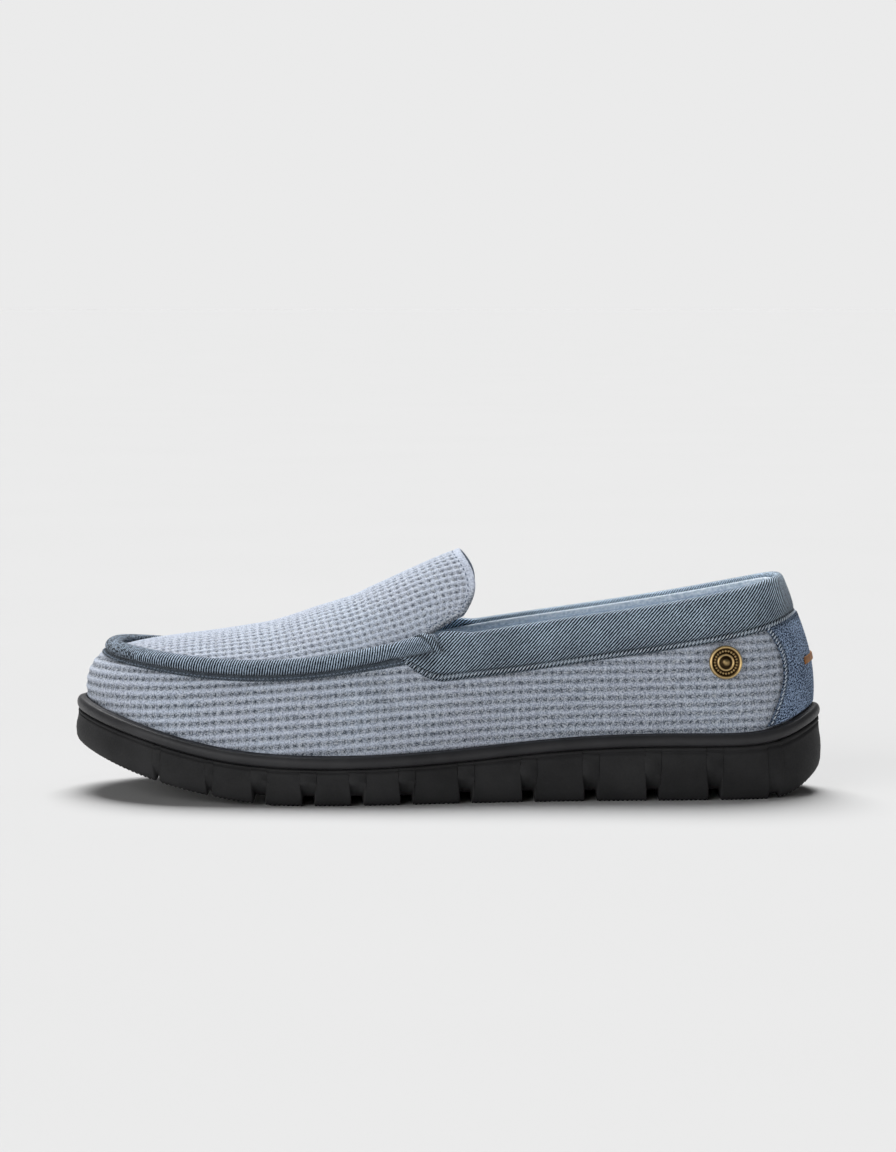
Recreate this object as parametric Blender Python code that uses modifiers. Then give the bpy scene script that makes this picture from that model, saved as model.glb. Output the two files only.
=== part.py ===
"""A left moccasin slipper: lugged sole, welt bead, hollow upper with apron and tongue, denim trim.

The toe points along +X, the lateral side along +Y, and the tread stands on Z = 0. Sizes are in
millimetres and become metres where a vertex is placed.
"""

from math import pi

import bmesh
import bpy
import numpy as np
from mathutils import Vector
from mathutils.bvhtree import BVHTree

MM = 0.001
GAP = 0.3
WELD = 0.02

# Driving sizes of the last
LENGTH = 300.0
BALL_WIDTH = 108.0
INSTEP_HEIGHT = 98.0
HEEL_HEIGHT = 86.0

# Sections of the shoe from toe to heel. along is a share of the length; lateral, medial and the two
# insets of the ball width; rim (top of the welt), bed (under the insole) and top (upper edge of the
# wall) of the heel height. The insets say how far the wall's upper edge lies inside the outline.
SECTION_COLUMNS = ("along", "lateral", "medial", "rim", "bed", "top", "inset_lateral", "inset_medial")
SECTIONS = (
    (1.000, -0.056, 0.056, 0.442, 0.314, 0.659, 0.134, 0.134),  # toe tip
    (0.970, 0.204, 0.306, 0.411, 0.297, 0.648, 0.132, 0.132),   # toe corners
    (0.893, 0.398, 0.457, 0.336, 0.247, 0.624, 0.130, 0.134),   # toes
    (0.780, 0.482, 0.505, 0.249, 0.188, 0.598, 0.126, 0.131),   # front of the ball
    (0.643, 0.505, 0.463, 0.224, 0.165, 0.628, 0.126, 0.116),   # ball
    (0.500, 0.440, 0.356, 0.242, 0.183, 0.731, 0.100, 0.079),   # throat
    (0.350, 0.375, 0.319, 0.288, 0.229, 0.817, 0.074, 0.065),   # arch
    (0.200, 0.347, 0.333, 0.305, 0.245, 0.895, 0.065, 0.065),   # quarters
    (0.083, 0.301, 0.296, 0.313, 0.251, 0.969, 0.098, 0.098),   # heel sides
    (0.020, 0.167, 0.167, 0.379, 0.253, 0.998, 0.142, 0.142),   # heel corners
    (0.000, 0.000, 0.000, 0.410, 0.256, 1.000, 0.157, 0.157),   # heel back
)

# Crown of the apron and tongue. Columns: along as a share of the length, height of the instep height
CROWN = (
    (0.480, 1.000),
    (0.550, 0.913),
    (0.620, 0.818),
    (0.690, 0.736),
    (0.770, 0.677),
    (0.860, 0.636),
    (0.950, 0.580),
)
CROWN_DEGREE = 4

# Stations round the shoe, counted from the toe tip over the lateral side, and the throat's station
ROUND = 80
THROAT = 20

# Upper. The wall's profile is a curve with a belly handle and a shoulder handle: the shoulder's lean and
# drop are shares of the wall's width and height, upright at the quarters and round in the forepart.
WALL = 2.4
WELT_IN = 4.6
WALL_ROWS = 8
LOW_ROWS = 4
BELLY_OUT = 1.9
BELLY_RISE = 0.42
QUARTER_LEAN = 0.45
QUARTER_DROP = 0.30
FORE_LEAN = 0.80
FORE_DROP = 0.06
FORE_START = 110.0
FORE_FULL = 190.0
APRON_ACROSS = 10
APRON_ARCH = 2.6
APRON_TIP_WIDTH = 16.0
LEAN_START = 4.0
TONGUE_ROWS = 5
TONGUE_LEAN = 0.42
TONGUE_TIP = 145.5
TONGUE_CORNER = (134.5, 24.6, 83.0)
TONGUE_ROUND = 4.0
TONGUE_ROUND_START = 0.6

# Sole
WELT_HEIGHT = 4.8
TOE_SPRING = 20.0
SPRING_START = 212.0
SPRING_POWER = 1.7
HEEL_LIFT = 9.0
HEEL_LIFT_START = 22.0
BED_INSET = 10.5
SEAT_INSET = 7.6
TREAD_INSET = 1.9
INSOLE = 4.0
INSOLE_EDGE = 3.0

# Grooves between the lugs, in three runs from toe to heel. Columns: first groove, pitch, count, depth, width
GROOVE_RUNS = (
    (264.3, 20.9, 2, 2.2, 2.0),
    (223.8, 19.3, 4, 3.4, 5.2),
    (142.8, 24.5, 6, 4.2, 5.2),
)
NOTCH_DEPTH = 3.2
NOTCH_HEEL = 12.0
NOTCH_TOE = 7.0

# Trim
ROLL_OUT = 3.2
ROLL_IN = 3.8
ROLL_HEIGHT = 4.4
ROLL_RISE = 0.7
ROLL_END = THROAT - 0.15
COLLAR_THICK = 2.8
COLLAR_HEM = 1.26
COLLAR_FRONT = 18.4
COLLAR_LOW_FRONT = 0.555
COLLAR_LOW_BACK = 0.705
COLLAR_TUCK_LEVEL = 0.72
COLLAR_RISE_END = THROAT + 0.35
COLLAR_REACH_END = THROAT + 1.1
COLLAR_CORNER_POWER = 1.4
COLLAR_CORNER_EDGE = 0.04
COLLAR_FRONT_LIFT = 3.0
COLLAR_LIFT_END = THROAT + 4.0
COUNTER_THICK = 1.5
COUNTER_FRONT = 32.4
COUNTER_WAIST = 1.4
COUNTER_MARGIN = 0.02
TAB_THICK = 1.0
TAB_HALF = 2.9
TAB_LOW = 0.300
TAB_HIGH = 0.358
BAR_THICK = 1.3
BAR_STATIONS = (THROAT - 0.75, THROAT - 0.55, THROAT - 0.35)
BUTTON_ALONG = 40.2
BUTTON_HEIGHT = 54.2
BUTTON_RADIUS = 6.7


def ring_rows():
    """The sections as one closed ring in millimetres: along, side, rim, bed, top, inset."""
    rows = [dict(zip(SECTION_COLUMNS, section)) for section in SECTIONS]
    lateral = [(row, row["lateral"], row["inset_lateral"]) for row in rows]
    medial = [(row, -row["medial"], row["inset_medial"]) for row in rows[-2:0:-1]]
    scales = np.array([LENGTH, BALL_WIDTH, HEEL_HEIGHT, HEEL_HEIGHT, HEEL_HEIGHT, BALL_WIDTH])
    ring = [(row["along"], side, row["rim"], row["bed"], row["top"], inset)
            for row, side, inset in lateral + medial]
    return np.array(ring) * scales


def ring_bends(values):
    """Second differences of the closed cubic curve through evenly numbered values."""
    count = len(values)
    matrix = 4.0 * np.eye(count) + np.roll(np.eye(count), 1, 0) + np.roll(np.eye(count), -1, 0)
    steps = np.roll(values, -1, 0) - 2.0 * values + np.roll(values, 1, 0)
    return np.linalg.solve(matrix, 6.0 * steps)


RING = ring_rows()
BENDS = ring_bends(RING)
CROWN_CURVE = np.polyfit([row[0] * LENGTH for row in CROWN],
                         [row[1] * INSTEP_HEIGHT for row in CROWN], CROWN_DEGREE)


def section(station):
    """Along, side, rim, bed, top and inset at a station round the shoe."""
    place = (station / ROUND % 1.0) * len(RING)
    first = int(place) % len(RING)
    second = (first + 1) % len(RING)
    far = place - int(place)
    near = 1.0 - far
    return (near * RING[first] + far * RING[second]
            + ((near ** 3 - near) * BENDS[first] + (far ** 3 - far) * BENDS[second]) / 6.0)


def plan(station, inset):
    """A point of the ground plan, inset from the outline."""
    step = section(station + 0.01)[:2] - section(station - 0.01)[:2]
    outward = np.array([step[1], -step[0]]) / np.hypot(*step)
    return section(station)[:2] - outward * inset


def seat(station):
    """Height of the sole's rim, which carries the welt and the upper."""
    return section(station)[2] - WELT_HEIGHT - GAP


def tread_height(along):
    """Height of the tread: toe spring in front, bevel at the heel."""
    toe = max(0.0, along - SPRING_START) / (LENGTH - SPRING_START)
    heel = max(0.0, HEEL_LIFT_START - along) / HEEL_LIFT_START
    return TOE_SPRING * toe ** SPRING_POWER + HEEL_LIFT * heel ** 2


def ease(value, low, high):
    share = min(max((value - low) / (high - low), 0.0), 1.0)
    return share * share * (3.0 - 2.0 * share)


def wall_bare(station, level):
    """The upper's wall: level 0 at the welt's top, 1 at the seam or the collar's edge."""
    along, _, rim, _, top, inset = section(station)
    fore = ease(along, FORE_START, FORE_FULL)
    high = top - rim
    lean = (QUARTER_LEAN + (FORE_LEAN - QUARTER_LEAN) * fore) * (inset - WELT_IN)
    drop = (QUARTER_DROP + (FORE_DROP - QUARTER_DROP) * fore) * high
    insets = (WELT_IN, WELT_IN - BELLY_OUT, inset - lean, inset)
    heights = (rim, rim + BELLY_RISE * high, top - drop, top)
    rest = 1.0 - level
    weights = (rest ** 3, 3.0 * level * rest ** 2, 3.0 * level ** 2 * rest, level ** 3)
    x, y = plan(station, np.dot(weights, insets))
    return np.array([x, y, np.dot(weights, heights)])


def wall_frame(station, level):
    """A point of the wall with its outward normal and its upward direction."""
    round_step = wall_bare(station + 0.02, level) - wall_bare(station - 0.02, level)
    up = wall_bare(station, level + 0.002) - wall_bare(station, level - 0.002)
    up /= np.linalg.norm(up)
    normal = np.cross(round_step, up)
    normal /= np.linalg.norm(normal)
    return wall_bare(station, level), normal, up


def wall(station, level, off=0.0):
    point, normal, _ = wall_frame(station, level)
    return point + normal * off


def collar_low(station):
    """Level of the collar band's lower edge, which is also an edge line of the wall."""
    share = min(max(section(station)[0] / (0.5 * LENGTH), 0.0), 1.0)
    return COLLAR_LOW_BACK + (COLLAR_LOW_FRONT - COLLAR_LOW_BACK) * share


def seam(station):
    return wall_bare(station, 1.0)


def crown(along):
    return np.polyval(CROWN_CURVE, along)


RIM_POINTS = np.array([plan(station, 0.0) for station in range(ROUND)])
CENTRE = (RIM_POINTS.max(0) + RIM_POINTS.min(0)) / 2.0


def world(point):
    """Millimetres from the heel to metres about the middle of the shoe."""
    return Vector((point[0] - CENTRE[0], point[1] - CENTRE[1], point[2])) * MM


def sheet(bm, columns, rows, place):
    """A grid whose vertex at column c and row r is moved to place(c, r)."""
    grid = bmesh.ops.create_grid(bm, x_segments=columns, y_segments=rows, size=0.5)
    for vert in grid["verts"]:
        column = round((vert.co.x + 0.5) * columns)
        row = round((vert.co.y + 0.5) * rows)
        vert.co = world(place(column, row))


def closed_up(bm):
    """Joins the sheets at their shared edges and turns the faces outwards."""
    bmesh.ops.remove_doubles(bm, verts=bm.verts, dist=WELD * MM)
    bmesh.ops.recalc_face_normals(bm, faces=bm.faces)


def cap_ends(bm):
    edges = [edge for edge in bm.edges if edge.is_boundary]
    bmesh.ops.holes_fill(bm, edges=edges, sides=0)
    bmesh.ops.recalc_face_normals(bm, faces=bm.faces)


def material(name, colour, roughness, metallic=0.0):
    finish = bpy.data.materials.new(name)
    finish.use_nodes = True
    shader = finish.node_tree.nodes["Principled BSDF"]
    shader.inputs["Base Color"].default_value = (*colour, 1.0)
    shader.inputs["Roughness"].default_value = roughness
    shader.inputs["Metallic"].default_value = metallic
    return finish


def add_object(name, bm, collection, finish=None):
    mesh = bpy.data.meshes.new(name)
    bm.to_mesh(mesh)
    bm.free()
    mesh.shade_smooth()
    if finish:
        mesh.materials.append(finish)
    thing = bpy.data.objects.new(name, mesh)
    collection.objects.link(thing)
    return thing


def thicken(thing, thickness):
    """Gives an outer skin its thickness, inwards."""
    skin = thing.modifiers.new("thickness", "SOLIDIFY")
    skin.thickness = thickness * MM
    skin.offset = -1.0
    skin.use_even_offset = True


# Upper: wall, apron and tongue are one skin

def wall_level(station, row):
    """Level of a wall row: even below the collar's lower edge, and even above it."""
    low = collar_low(station)
    if row <= LOW_ROWS:
        return low * row / LOW_ROWS
    return low + (1.0 - low) * (row - LOW_ROWS) / (WALL_ROWS - 1 - LOW_ROWS)


def wall_place(column, row):
    if row == 0:
        x, y = plan(column, WELT_IN)
        return np.array([x, y, seat(column) + GAP])
    return wall_bare(column, wall_level(column, row - 1))


def arched(left, right, peak, across):
    """A point of an arch from left to right whose middle passes through the peak."""
    middle = (left + right) / 2.0
    bulge = 1.0 - abs(2.0 * across - 1.0) ** APRON_ARCH
    return left + (right - left) * across + (peak - middle) * bulge


def apron_peak(station):
    """Crown point of the apron section that ends on the seam at a station."""
    left, right = seam(station), seam(-station)
    middle = (left + right) / 2.0
    lean = TONGUE_LEAN * ease(station, LEAN_START, THROAT)
    spread = min(1.0, np.linalg.norm(left - right) / APRON_TIP_WIDTH)
    peak = middle.copy()
    for _ in range(6):
        peak[2] = middle[2] + spread * (crown(peak[0]) - middle[2])
        peak[0] = middle[0] + lean * (peak[2] - middle[2])
    return peak


def apron_place(column, row):
    return arched(seam(row), seam(-row), apron_peak(row), column / APRON_ACROSS)


def tongue_place(column, row):
    share = row / TONGUE_ROWS
    tuck = TONGUE_ROUND * max(0.0, share - TONGUE_ROUND_START) / (1.0 - TONGUE_ROUND_START)
    x, y, z = TONGUE_CORNER
    left = seam(THROAT) * (1.0 - share) + np.array([x, y - tuck, z]) * share
    right = seam(-THROAT) * (1.0 - share) + np.array([x, tuck - y, z]) * share
    start = apron_peak(THROAT)
    along = start[0] + (TONGUE_TIP - start[0]) * share
    rise = start[2] - crown(start[0])
    peak = np.array([along, start[1] * (1.0 - share), crown(along) + rise * (1.0 - share)])
    return arched(left, right, peak, column / APRON_ACROSS)


def upper(collection, finish):
    bm = bmesh.new()
    sheet(bm, ROUND, WALL_ROWS, wall_place)
    sheet(bm, APRON_ACROSS, THROAT, apron_place)
    sheet(bm, APRON_ACROSS, TONGUE_ROWS, tongue_place)
    closed_up(bm)
    skin = BVHTree.FromBMesh(bm)
    thicken(add_object("upper", bm, collection, finish), WALL)
    return skin


# Sole, welt and insole

# Sidewall from the seat's inner edge down to the tread. Columns: inset, height as a share of the side, lift
SIDE = (
    (SEAT_INSET, 1.00, 0.0),
    (1.7, 1.00, 0.0),
    (0.9, 1.00, -0.7),
    (0.9, 0.78, 0.0),
    (0.0, 0.42, 0.0),
    (0.5, 0.00, 1.4),
    (TREAD_INSET, 0.00, 0.0),
)


def side_place(column, row):
    inset, share, lift = SIDE[row]
    x, y = plan(column, inset)
    low = tread_height(x)
    return np.array([x, y, low + share * (seat(column) - low) + lift])


def tread_place(column, row):
    station = column if row == 0 else -column
    x, y = plan(station, TREAD_INSET)
    return np.array([x, y, tread_height(x)])


def bed_place(edge_inset, bed_inset, edge_lift, bed_lift):
    """Places for a strip from edge to edge over the bed, lateral side first."""
    def place(column, row):
        station = column if row < 2 else -column
        if row in (0, 3):
            return np.array([*plan(station, edge_inset), seat(station) + edge_lift])
        return np.array([*plan(station, bed_inset), section(station)[3] + bed_lift])
    return place


def groove_cutter(collection):
    """One bar for each groove, with a ramp at each end that notches the sidewall."""
    bm = bmesh.new()
    sides = np.array([plan(station, 0.0) for station in np.linspace(0.0, ROUND / 2, 200)])
    inner = np.array([plan(-station, 0.0) for station in np.linspace(0.0, ROUND / 2, 200)])
    for first, pitch, count, depth, width in GROOVE_RUNS:
        for along in first - pitch * np.arange(count):
            lateral = np.interp(along, sides[::-1, 0], sides[::-1, 1])
            medial = np.interp(along, inner[::-1, 0], inner[::-1, 1])
            low = tread_height(along)
            notch = NOTCH_HEEL + (NOTCH_TOE - NOTCH_HEEL) * along / LENGTH
            slope = (notch - depth) / NOTCH_DEPTH
            outline = (
                (lateral + NOTCH_DEPTH, -NOTCH_HEEL),
                (lateral + NOTCH_DEPTH, low + depth + 2.0 * NOTCH_DEPTH * slope),
                (lateral - NOTCH_DEPTH, low + depth),
                (medial + NOTCH_DEPTH, low + depth),
                (medial - NOTCH_DEPTH, low + depth + 2.0 * NOTCH_DEPTH * slope),
                (medial - NOTCH_DEPTH, -NOTCH_HEEL),
            )
            verts = [bm.verts.new(world((along - width / 2.0, y, z))) for y, z in outline]
            solid = bmesh.ops.extrude_face_region(bm, geom=[bm.faces.new(verts)])
            moved = [item for item in solid["geom"] if isinstance(item, bmesh.types.BMVert)]
            bmesh.ops.translate(bm, verts=moved, vec=(width * MM, 0.0, 0.0))
    bmesh.ops.recalc_face_normals(bm, faces=bm.faces)
    cutter = add_object("tread_grooves", bm, collection)
    cutter.hide_render = True
    cutter.display_type = "WIRE"
    return cutter


def outsole(collection, cutters, finish):
    bm = bmesh.new()
    sheet(bm, ROUND, len(SIDE) - 1, side_place)
    sheet(bm, ROUND // 2, 3, bed_place(SEAT_INSET, BED_INSET, 0.0, 0.0))
    sheet(bm, ROUND // 2, 1, tread_place)
    closed_up(bm)
    thing = add_object("outsole", bm, collection, finish)
    cut = thing.modifiers.new("grooves", "BOOLEAN")
    cut.operation = "DIFFERENCE"
    cut.solver = "EXACT"
    cut.object = groove_cutter(cutters)


# Welt bead, from its inner foot round the outside to its inner top. Columns: inset, height
WELT = (
    (WELT_IN - GAP, 0.0),
    (1.6, 0.0),
    (0.8, 0.9),
    (0.5, 2.2),
    (0.8, 3.6),
    (1.6, 4.5),
    (2.8, WELT_HEIGHT),
    (WELT_IN - GAP, 4.6),
)


def welt(collection, finish):
    def place(column, row):
        inset, height = WELT[row % len(WELT)]
        return np.array([*plan(column, inset), seat(column) + GAP + height])
    bm = bmesh.new()
    sheet(bm, ROUND, len(WELT), place)
    closed_up(bm)
    add_object("welt", bm, collection, finish)


def insole(collection, finish):
    under = bed_place(SEAT_INSET + GAP, BED_INSET + GAP, GAP, GAP)
    over = bed_place(SEAT_INSET + 2.0 * GAP, BED_INSET + 2.0 * GAP, GAP + INSOLE_EDGE, GAP + INSOLE)

    def edge(column, row):
        station = min(column, ROUND - column)
        side = 0 if column <= ROUND // 2 else 3
        return (under if row == 0 else over)(station, side)

    bm = bmesh.new()
    sheet(bm, ROUND // 2, 3, under)
    sheet(bm, ROUND // 2, 3, over)
    sheet(bm, ROUND, 1, edge)
    closed_up(bm)
    add_object("insole", bm, collection, finish)


# Denim trim, leather tab and button

def on_skin(skin, x, y):
    """The point of the upper straight below a place in the plan."""
    start = world((x, y, 2.0 * INSTEP_HEIGHT))
    hit = skin.ray_cast(start, Vector((0.0, 0.0, -1.0)))[0]
    return np.array([x, y, hit.z / MM])


def roll_section(skin, station, rise, inner, outer, height):
    """An arch over the seam, from the wall across to the apron."""
    top = seam(station)
    aside = (plan(station, 0.0) - top[:2]) / np.linalg.norm(plan(station, 0.0) - top[:2])
    wall_foot = wall_bare(station, 1.0 - 0.1 * outer / np.linalg.norm(top - wall_bare(station, 0.9)))
    apron_foot = on_skin(skin, *(top[:2] - aside * inner))
    across = wall_foot - apron_foot
    ahead = np.array([-aside[1], aside[0], 0.0])
    lift = np.cross(across, ahead)
    lift *= np.sign(lift[2]) / np.linalg.norm(lift)
    points = []
    for angle in np.linspace(0.0, pi, 9):
        foot = wall_foot if angle < pi / 2.0 else apron_foot
        points.append(top + (foot - top) * abs(np.cos(angle)) + lift * (rise + height * np.sin(angle)))
    points.append(top + lift * rise)
    return points


def swept(name, sections, collection, finish):
    """A solid through closed sections of equal count, with flat ends."""
    count = len(sections[0])
    bm = bmesh.new()
    sheet(bm, len(sections) - 1, count, lambda column, row: sections[column][row % count])
    closed_up(bm)
    cap_ends(bm)
    add_object(name, bm, collection, finish)


def apron_roll(skin, collection, finish):
    stations = [-ROLL_END, *range(1 - THROAT, THROAT), ROLL_END]
    sections = [roll_section(skin, at, ROLL_RISE, ROLL_IN, ROLL_OUT, ROLL_HEIGHT) for at in stations]
    swept("apron_roll", sections, collection, finish)


def throat_bar(name, side, skin, collection, finish):
    """A strap over the end of the roll: an outer arch and the inner arch that clears the roll."""
    sections = []
    for station in BAR_STATIONS:
        at = side * station
        rise = ROLL_RISE + GAP
        hollow = roll_section(skin, at, rise, ROLL_IN + GAP, ROLL_OUT + GAP, ROLL_HEIGHT + GAP)[:-1]
        crest = roll_section(skin, at, rise, ROLL_IN + GAP + BAR_THICK, ROLL_OUT + GAP + BAR_THICK,
                             ROLL_HEIGHT + GAP + BAR_THICK)[:-1]
        sections.append(crest + hollow[::-1])
    swept(name, sections, collection, finish)


# Shares of the band's height and thickness on its outer face, from its lower edge up
COLLAR_FACE = (
    (0.12, 0.75),
    (0.50, 0.95),
    (0.85, 1.00),
)

# Cap of the band. Columns: lift over its edge, offset in front under the roll, offset behind over the wall
COLLAR_CAP = (
    (1.2, 2.3, 2.2),
    (1.9, 1.8, 0.6),
    (1.9, 1.1, -1.6),
    (0.8, 0.6, -WALL - GAP),
    (GAP, GAP, GAP),
)


def collar_section(station):
    """A band up the outside of the wall and over its edge; in front it stays below the roll."""
    turn = min(station, ROUND - station)
    top_level = np.interp(turn, (THROAT, COLLAR_RISE_END), (COLLAR_TUCK_LEVEL, 1.0))
    reach = np.interp(turn, (COLLAR_RISE_END, COLLAR_REACH_END), (0.0, 1.0))
    low = collar_low(station)
    corner = min(max((THROAT - turn) / (THROAT - COLLAR_FRONT), 0.0), 1.0)
    low += (top_level - COLLAR_CORNER_EDGE - low) * corner ** COLLAR_CORNER_POWER
    raised = COLLAR_FRONT_LIFT * (1.0 - ease(turn, COLLAR_RISE_END, COLLAR_LIFT_END)) * (turn > THROAT)
    points = [wall(station, low, GAP), wall(station, low, COLLAR_HEM)]
    levels = [low + (top_level - low) * height for height, _ in COLLAR_FACE]
    for level, (_, share) in zip(levels, COLLAR_FACE):
        points.append(wall(station, level, GAP + share * (COLLAR_THICK - GAP)))
    edge, normal, up = wall_frame(station, top_level)
    for lift, off_front, off_back in COLLAR_CAP:
        high = lift + raised * (lift > GAP)
        points.append(edge + up * high + normal * (off_front + (off_back - off_front) * reach))
    for level in levels[:0:-1]:
        points.append(wall(station, level, GAP))
    return points


def collar(collection, finish):
    front = [*np.linspace(COLLAR_FRONT, THROAT, 5), COLLAR_RISE_END, COLLAR_REACH_END, THROAT + 1.4]
    back = range(THROAT + 2, ROUND - THROAT - 1)
    stations = [*front, *back, *(ROUND - at for at in front[::-1])]
    swept("collar", [collar_section(at) for at in stations], collection, finish)


def overlay(name, columns, rows, place, thickness, collection, finish):
    """A skin on the wall's own form, thickened inwards."""
    bm = bmesh.new()
    sheet(bm, columns, rows, place)
    bm.normal_update()
    if sum(face.normal.x for face in bm.faces) > 0.0:
        bmesh.ops.reverse_faces(bm, faces=bm.faces)
    thicken(add_object(name, bm, collection, finish), thickness)


def heel_counter(collection, finish):
    columns, rows = 24, 5

    def place(column, row):
        share = row / rows
        front = COUNTER_FRONT + COUNTER_WAIST * np.sin(pi * share)
        station = front + (ROUND - 2.0 * front) * column / columns
        high = collar_low(station) - COUNTER_MARGIN
        level = COUNTER_MARGIN + (high - COUNTER_MARGIN) * share
        return wall(station, level, GAP + COUNTER_THICK)
    overlay("heel_counter", columns, rows, place, COUNTER_THICK, collection, finish)


def heel_tab(collection, finish):
    columns, rows = 8, 2

    def place(column, row):
        station = ROUND / 2 + TAB_HALF * (2.0 * column / columns - 1.0)
        level = TAB_LOW + (TAB_HIGH - TAB_LOW) * row / rows
        return wall(station, level, 2.0 * GAP + COUNTER_THICK + TAB_THICK)
    overlay("heel_tab", columns, rows, place, TAB_THICK, collection, finish)


# Button profile from the middle of its dome out over the rim to its back. Columns: radius, height
BUTTON = (
    (0.0, 3.0),
    (1.3, 2.8),
    (2.2, 2.1),
    (2.7, 1.7),
    (3.2, 2.1),
    (3.8, 1.6),
    (5.2, 1.7),
    (5.8, 2.3),
    (6.4, 2.0),
    (BUTTON_RADIUS, 1.2),
    (6.5, 0.4),
    (6.1, 0.0),
    (0.0, 0.0),
)


def snap_button(skin, collection, finish):
    start = world((BUTTON_ALONG, BALL_WIDTH, BUTTON_HEIGHT))
    place, normal, _, _ = skin.ray_cast(start, Vector((0.0, -1.0, 0.0)))
    if normal.y < 0.0:
        normal.negate()
    bm = bmesh.new()
    verts = [bm.verts.new((radius * MM, 0.0, height * MM)) for radius, height in BUTTON]
    for first, second in zip(verts, verts[1:]):
        bm.edges.new((first, second))
    thing = add_object("snap_button", bm, collection, finish)
    turn = thing.modifiers.new("turn", "SCREW")
    turn.steps = 24
    turn.render_steps = 24
    turn.use_merge_vertices = True
    turn.merge_threshold = 0.00001
    thing.location = place + normal * 2.0 * GAP * MM
    thing.rotation_euler = normal.to_track_quat("Z", "Y").to_euler()


def main():
    for thing in list(bpy.data.objects):
        bpy.data.objects.remove(thing)
    parts = bpy.data.collections.new("moccasin_slipper")
    cutters = bpy.data.collections.new("cutters")
    for collection in (parts, cutters):
        bpy.context.scene.collection.children.link(collection)

    rubber = material("black_rubber", (0.012, 0.012, 0.013), 0.55)
    knit = material("waffle_knit", (0.32, 0.38, 0.46), 0.9)
    denim = material("blue_denim", (0.11, 0.16, 0.22), 0.85)
    footbed = material("footbed_fabric", (0.30, 0.37, 0.46), 0.95)
    leather = material("tan_leather", (0.26, 0.13, 0.05), 0.6)
    brass = material("antique_brass", (0.35, 0.22, 0.07), 0.35, 1.0)

    outsole(parts, cutters, rubber)
    welt(parts, rubber.copy())
    insole(parts, footbed)
    skin = upper(parts, knit)
    apron_roll(skin, parts, denim)
    collar(parts, denim.copy())
    heel_counter(parts, denim.copy())
    throat_bar("throat_bar_lateral", 1, skin, parts, denim.copy())
    throat_bar("throat_bar_medial", -1, skin, parts, denim.copy())
    heel_tab(parts, leather)
    snap_button(skin, parts, brass)


main()
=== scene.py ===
from math import cos, pi, radians, sin

import bmesh
import bpy
import numpy as np
from mathutils import Matrix, Vector
from mathutils.bvhtree import BVHTree


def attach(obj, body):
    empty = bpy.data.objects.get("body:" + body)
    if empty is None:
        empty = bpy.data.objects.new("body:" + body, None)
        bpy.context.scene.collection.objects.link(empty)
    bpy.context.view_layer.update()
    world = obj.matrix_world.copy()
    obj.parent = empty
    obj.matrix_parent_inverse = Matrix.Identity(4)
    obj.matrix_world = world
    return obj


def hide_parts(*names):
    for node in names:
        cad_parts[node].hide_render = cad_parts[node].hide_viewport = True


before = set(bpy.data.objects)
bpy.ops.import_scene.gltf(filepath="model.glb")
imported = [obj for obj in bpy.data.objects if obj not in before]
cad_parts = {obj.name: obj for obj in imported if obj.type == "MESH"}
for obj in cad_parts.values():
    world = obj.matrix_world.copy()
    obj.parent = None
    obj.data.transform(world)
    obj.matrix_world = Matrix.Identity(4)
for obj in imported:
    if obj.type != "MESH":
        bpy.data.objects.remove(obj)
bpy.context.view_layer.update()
print("frame loaded with", len(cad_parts), "solids")

mm = 0.001
weld = 0.02


# The last that every piece is drawn over, in millimetres from the back of the heel
last = {
    "length": 300.0,
    "ballWidth": 108.0,
    "instepHeight": 98.0,
    "heelHeight": 86.0,
    "stations": 80.0,  # counted round the shoe from the toe tip, lateral side first
    "samples": 3000,  # points for measuring along a curve
    "throat": 20.0,
    "weltIn": 4.6,
    "weltHeight": 4.8,
    "gap": 0.3,
    "bellyOut": 1.9,
    "bellyRise": 0.42,
    "quarterLean": 0.45,
    "quarterDrop": 0.30,
    "foreLean": 0.80,
    "foreDrop": 0.06,
    "foreStart": 110.0,
    "foreFull": 190.0,
    "collarLowFront": 0.555,  # levels of the collar's lower edge on the wall
    "collarLowBack": 0.672,
    # along, lateral, medial, rim, bed, top, inset lateral, inset medial, as shares of the sizes above
    "sections": (
        (1.000, -0.056, 0.056, 0.442, 0.314, 0.659, 0.134, 0.134),
        (0.970, 0.204, 0.306, 0.411, 0.297, 0.648, 0.132, 0.132),
        (0.893, 0.398, 0.457, 0.336, 0.247, 0.624, 0.130, 0.134),
        (0.780, 0.482, 0.505, 0.249, 0.188, 0.598, 0.126, 0.131),
        (0.643, 0.505, 0.463, 0.224, 0.165, 0.628, 0.126, 0.116),
        (0.500, 0.440, 0.356, 0.242, 0.183, 0.731, 0.100, 0.079),
        (0.350, 0.375, 0.319, 0.288, 0.229, 0.817, 0.074, 0.065),
        (0.200, 0.347, 0.333, 0.305, 0.245, 0.895, 0.065, 0.065),
        (0.083, 0.301, 0.296, 0.313, 0.251, 0.969, 0.098, 0.098),
        (0.020, 0.167, 0.167, 0.379, 0.253, 0.998, 0.142, 0.142),
        (0.000, 0.000, 0.000, 0.410, 0.256, 1.000, 0.157, 0.157),
    ),
    # along and height of the instep's crown line
    "crown": ((0.480, 1.000), (0.550, 0.913), (0.620, 0.818), (0.690, 0.736),
              (0.770, 0.677), (0.860, 0.636), (0.950, 0.580)),
}


def lastRing():
    table = np.array(last["sections"])
    lateral = table[:, [0, 1, 3, 4, 5, 6]]
    medial = table[-2:0:-1, [0, 2, 3, 4, 5, 7]] * (1, -1, 1, 1, 1, 1)
    tall = last["heelHeight"]
    return np.concatenate([lateral, medial]) * (
        last["length"], last["ballWidth"], tall, tall, tall, last["ballWidth"])


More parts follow.
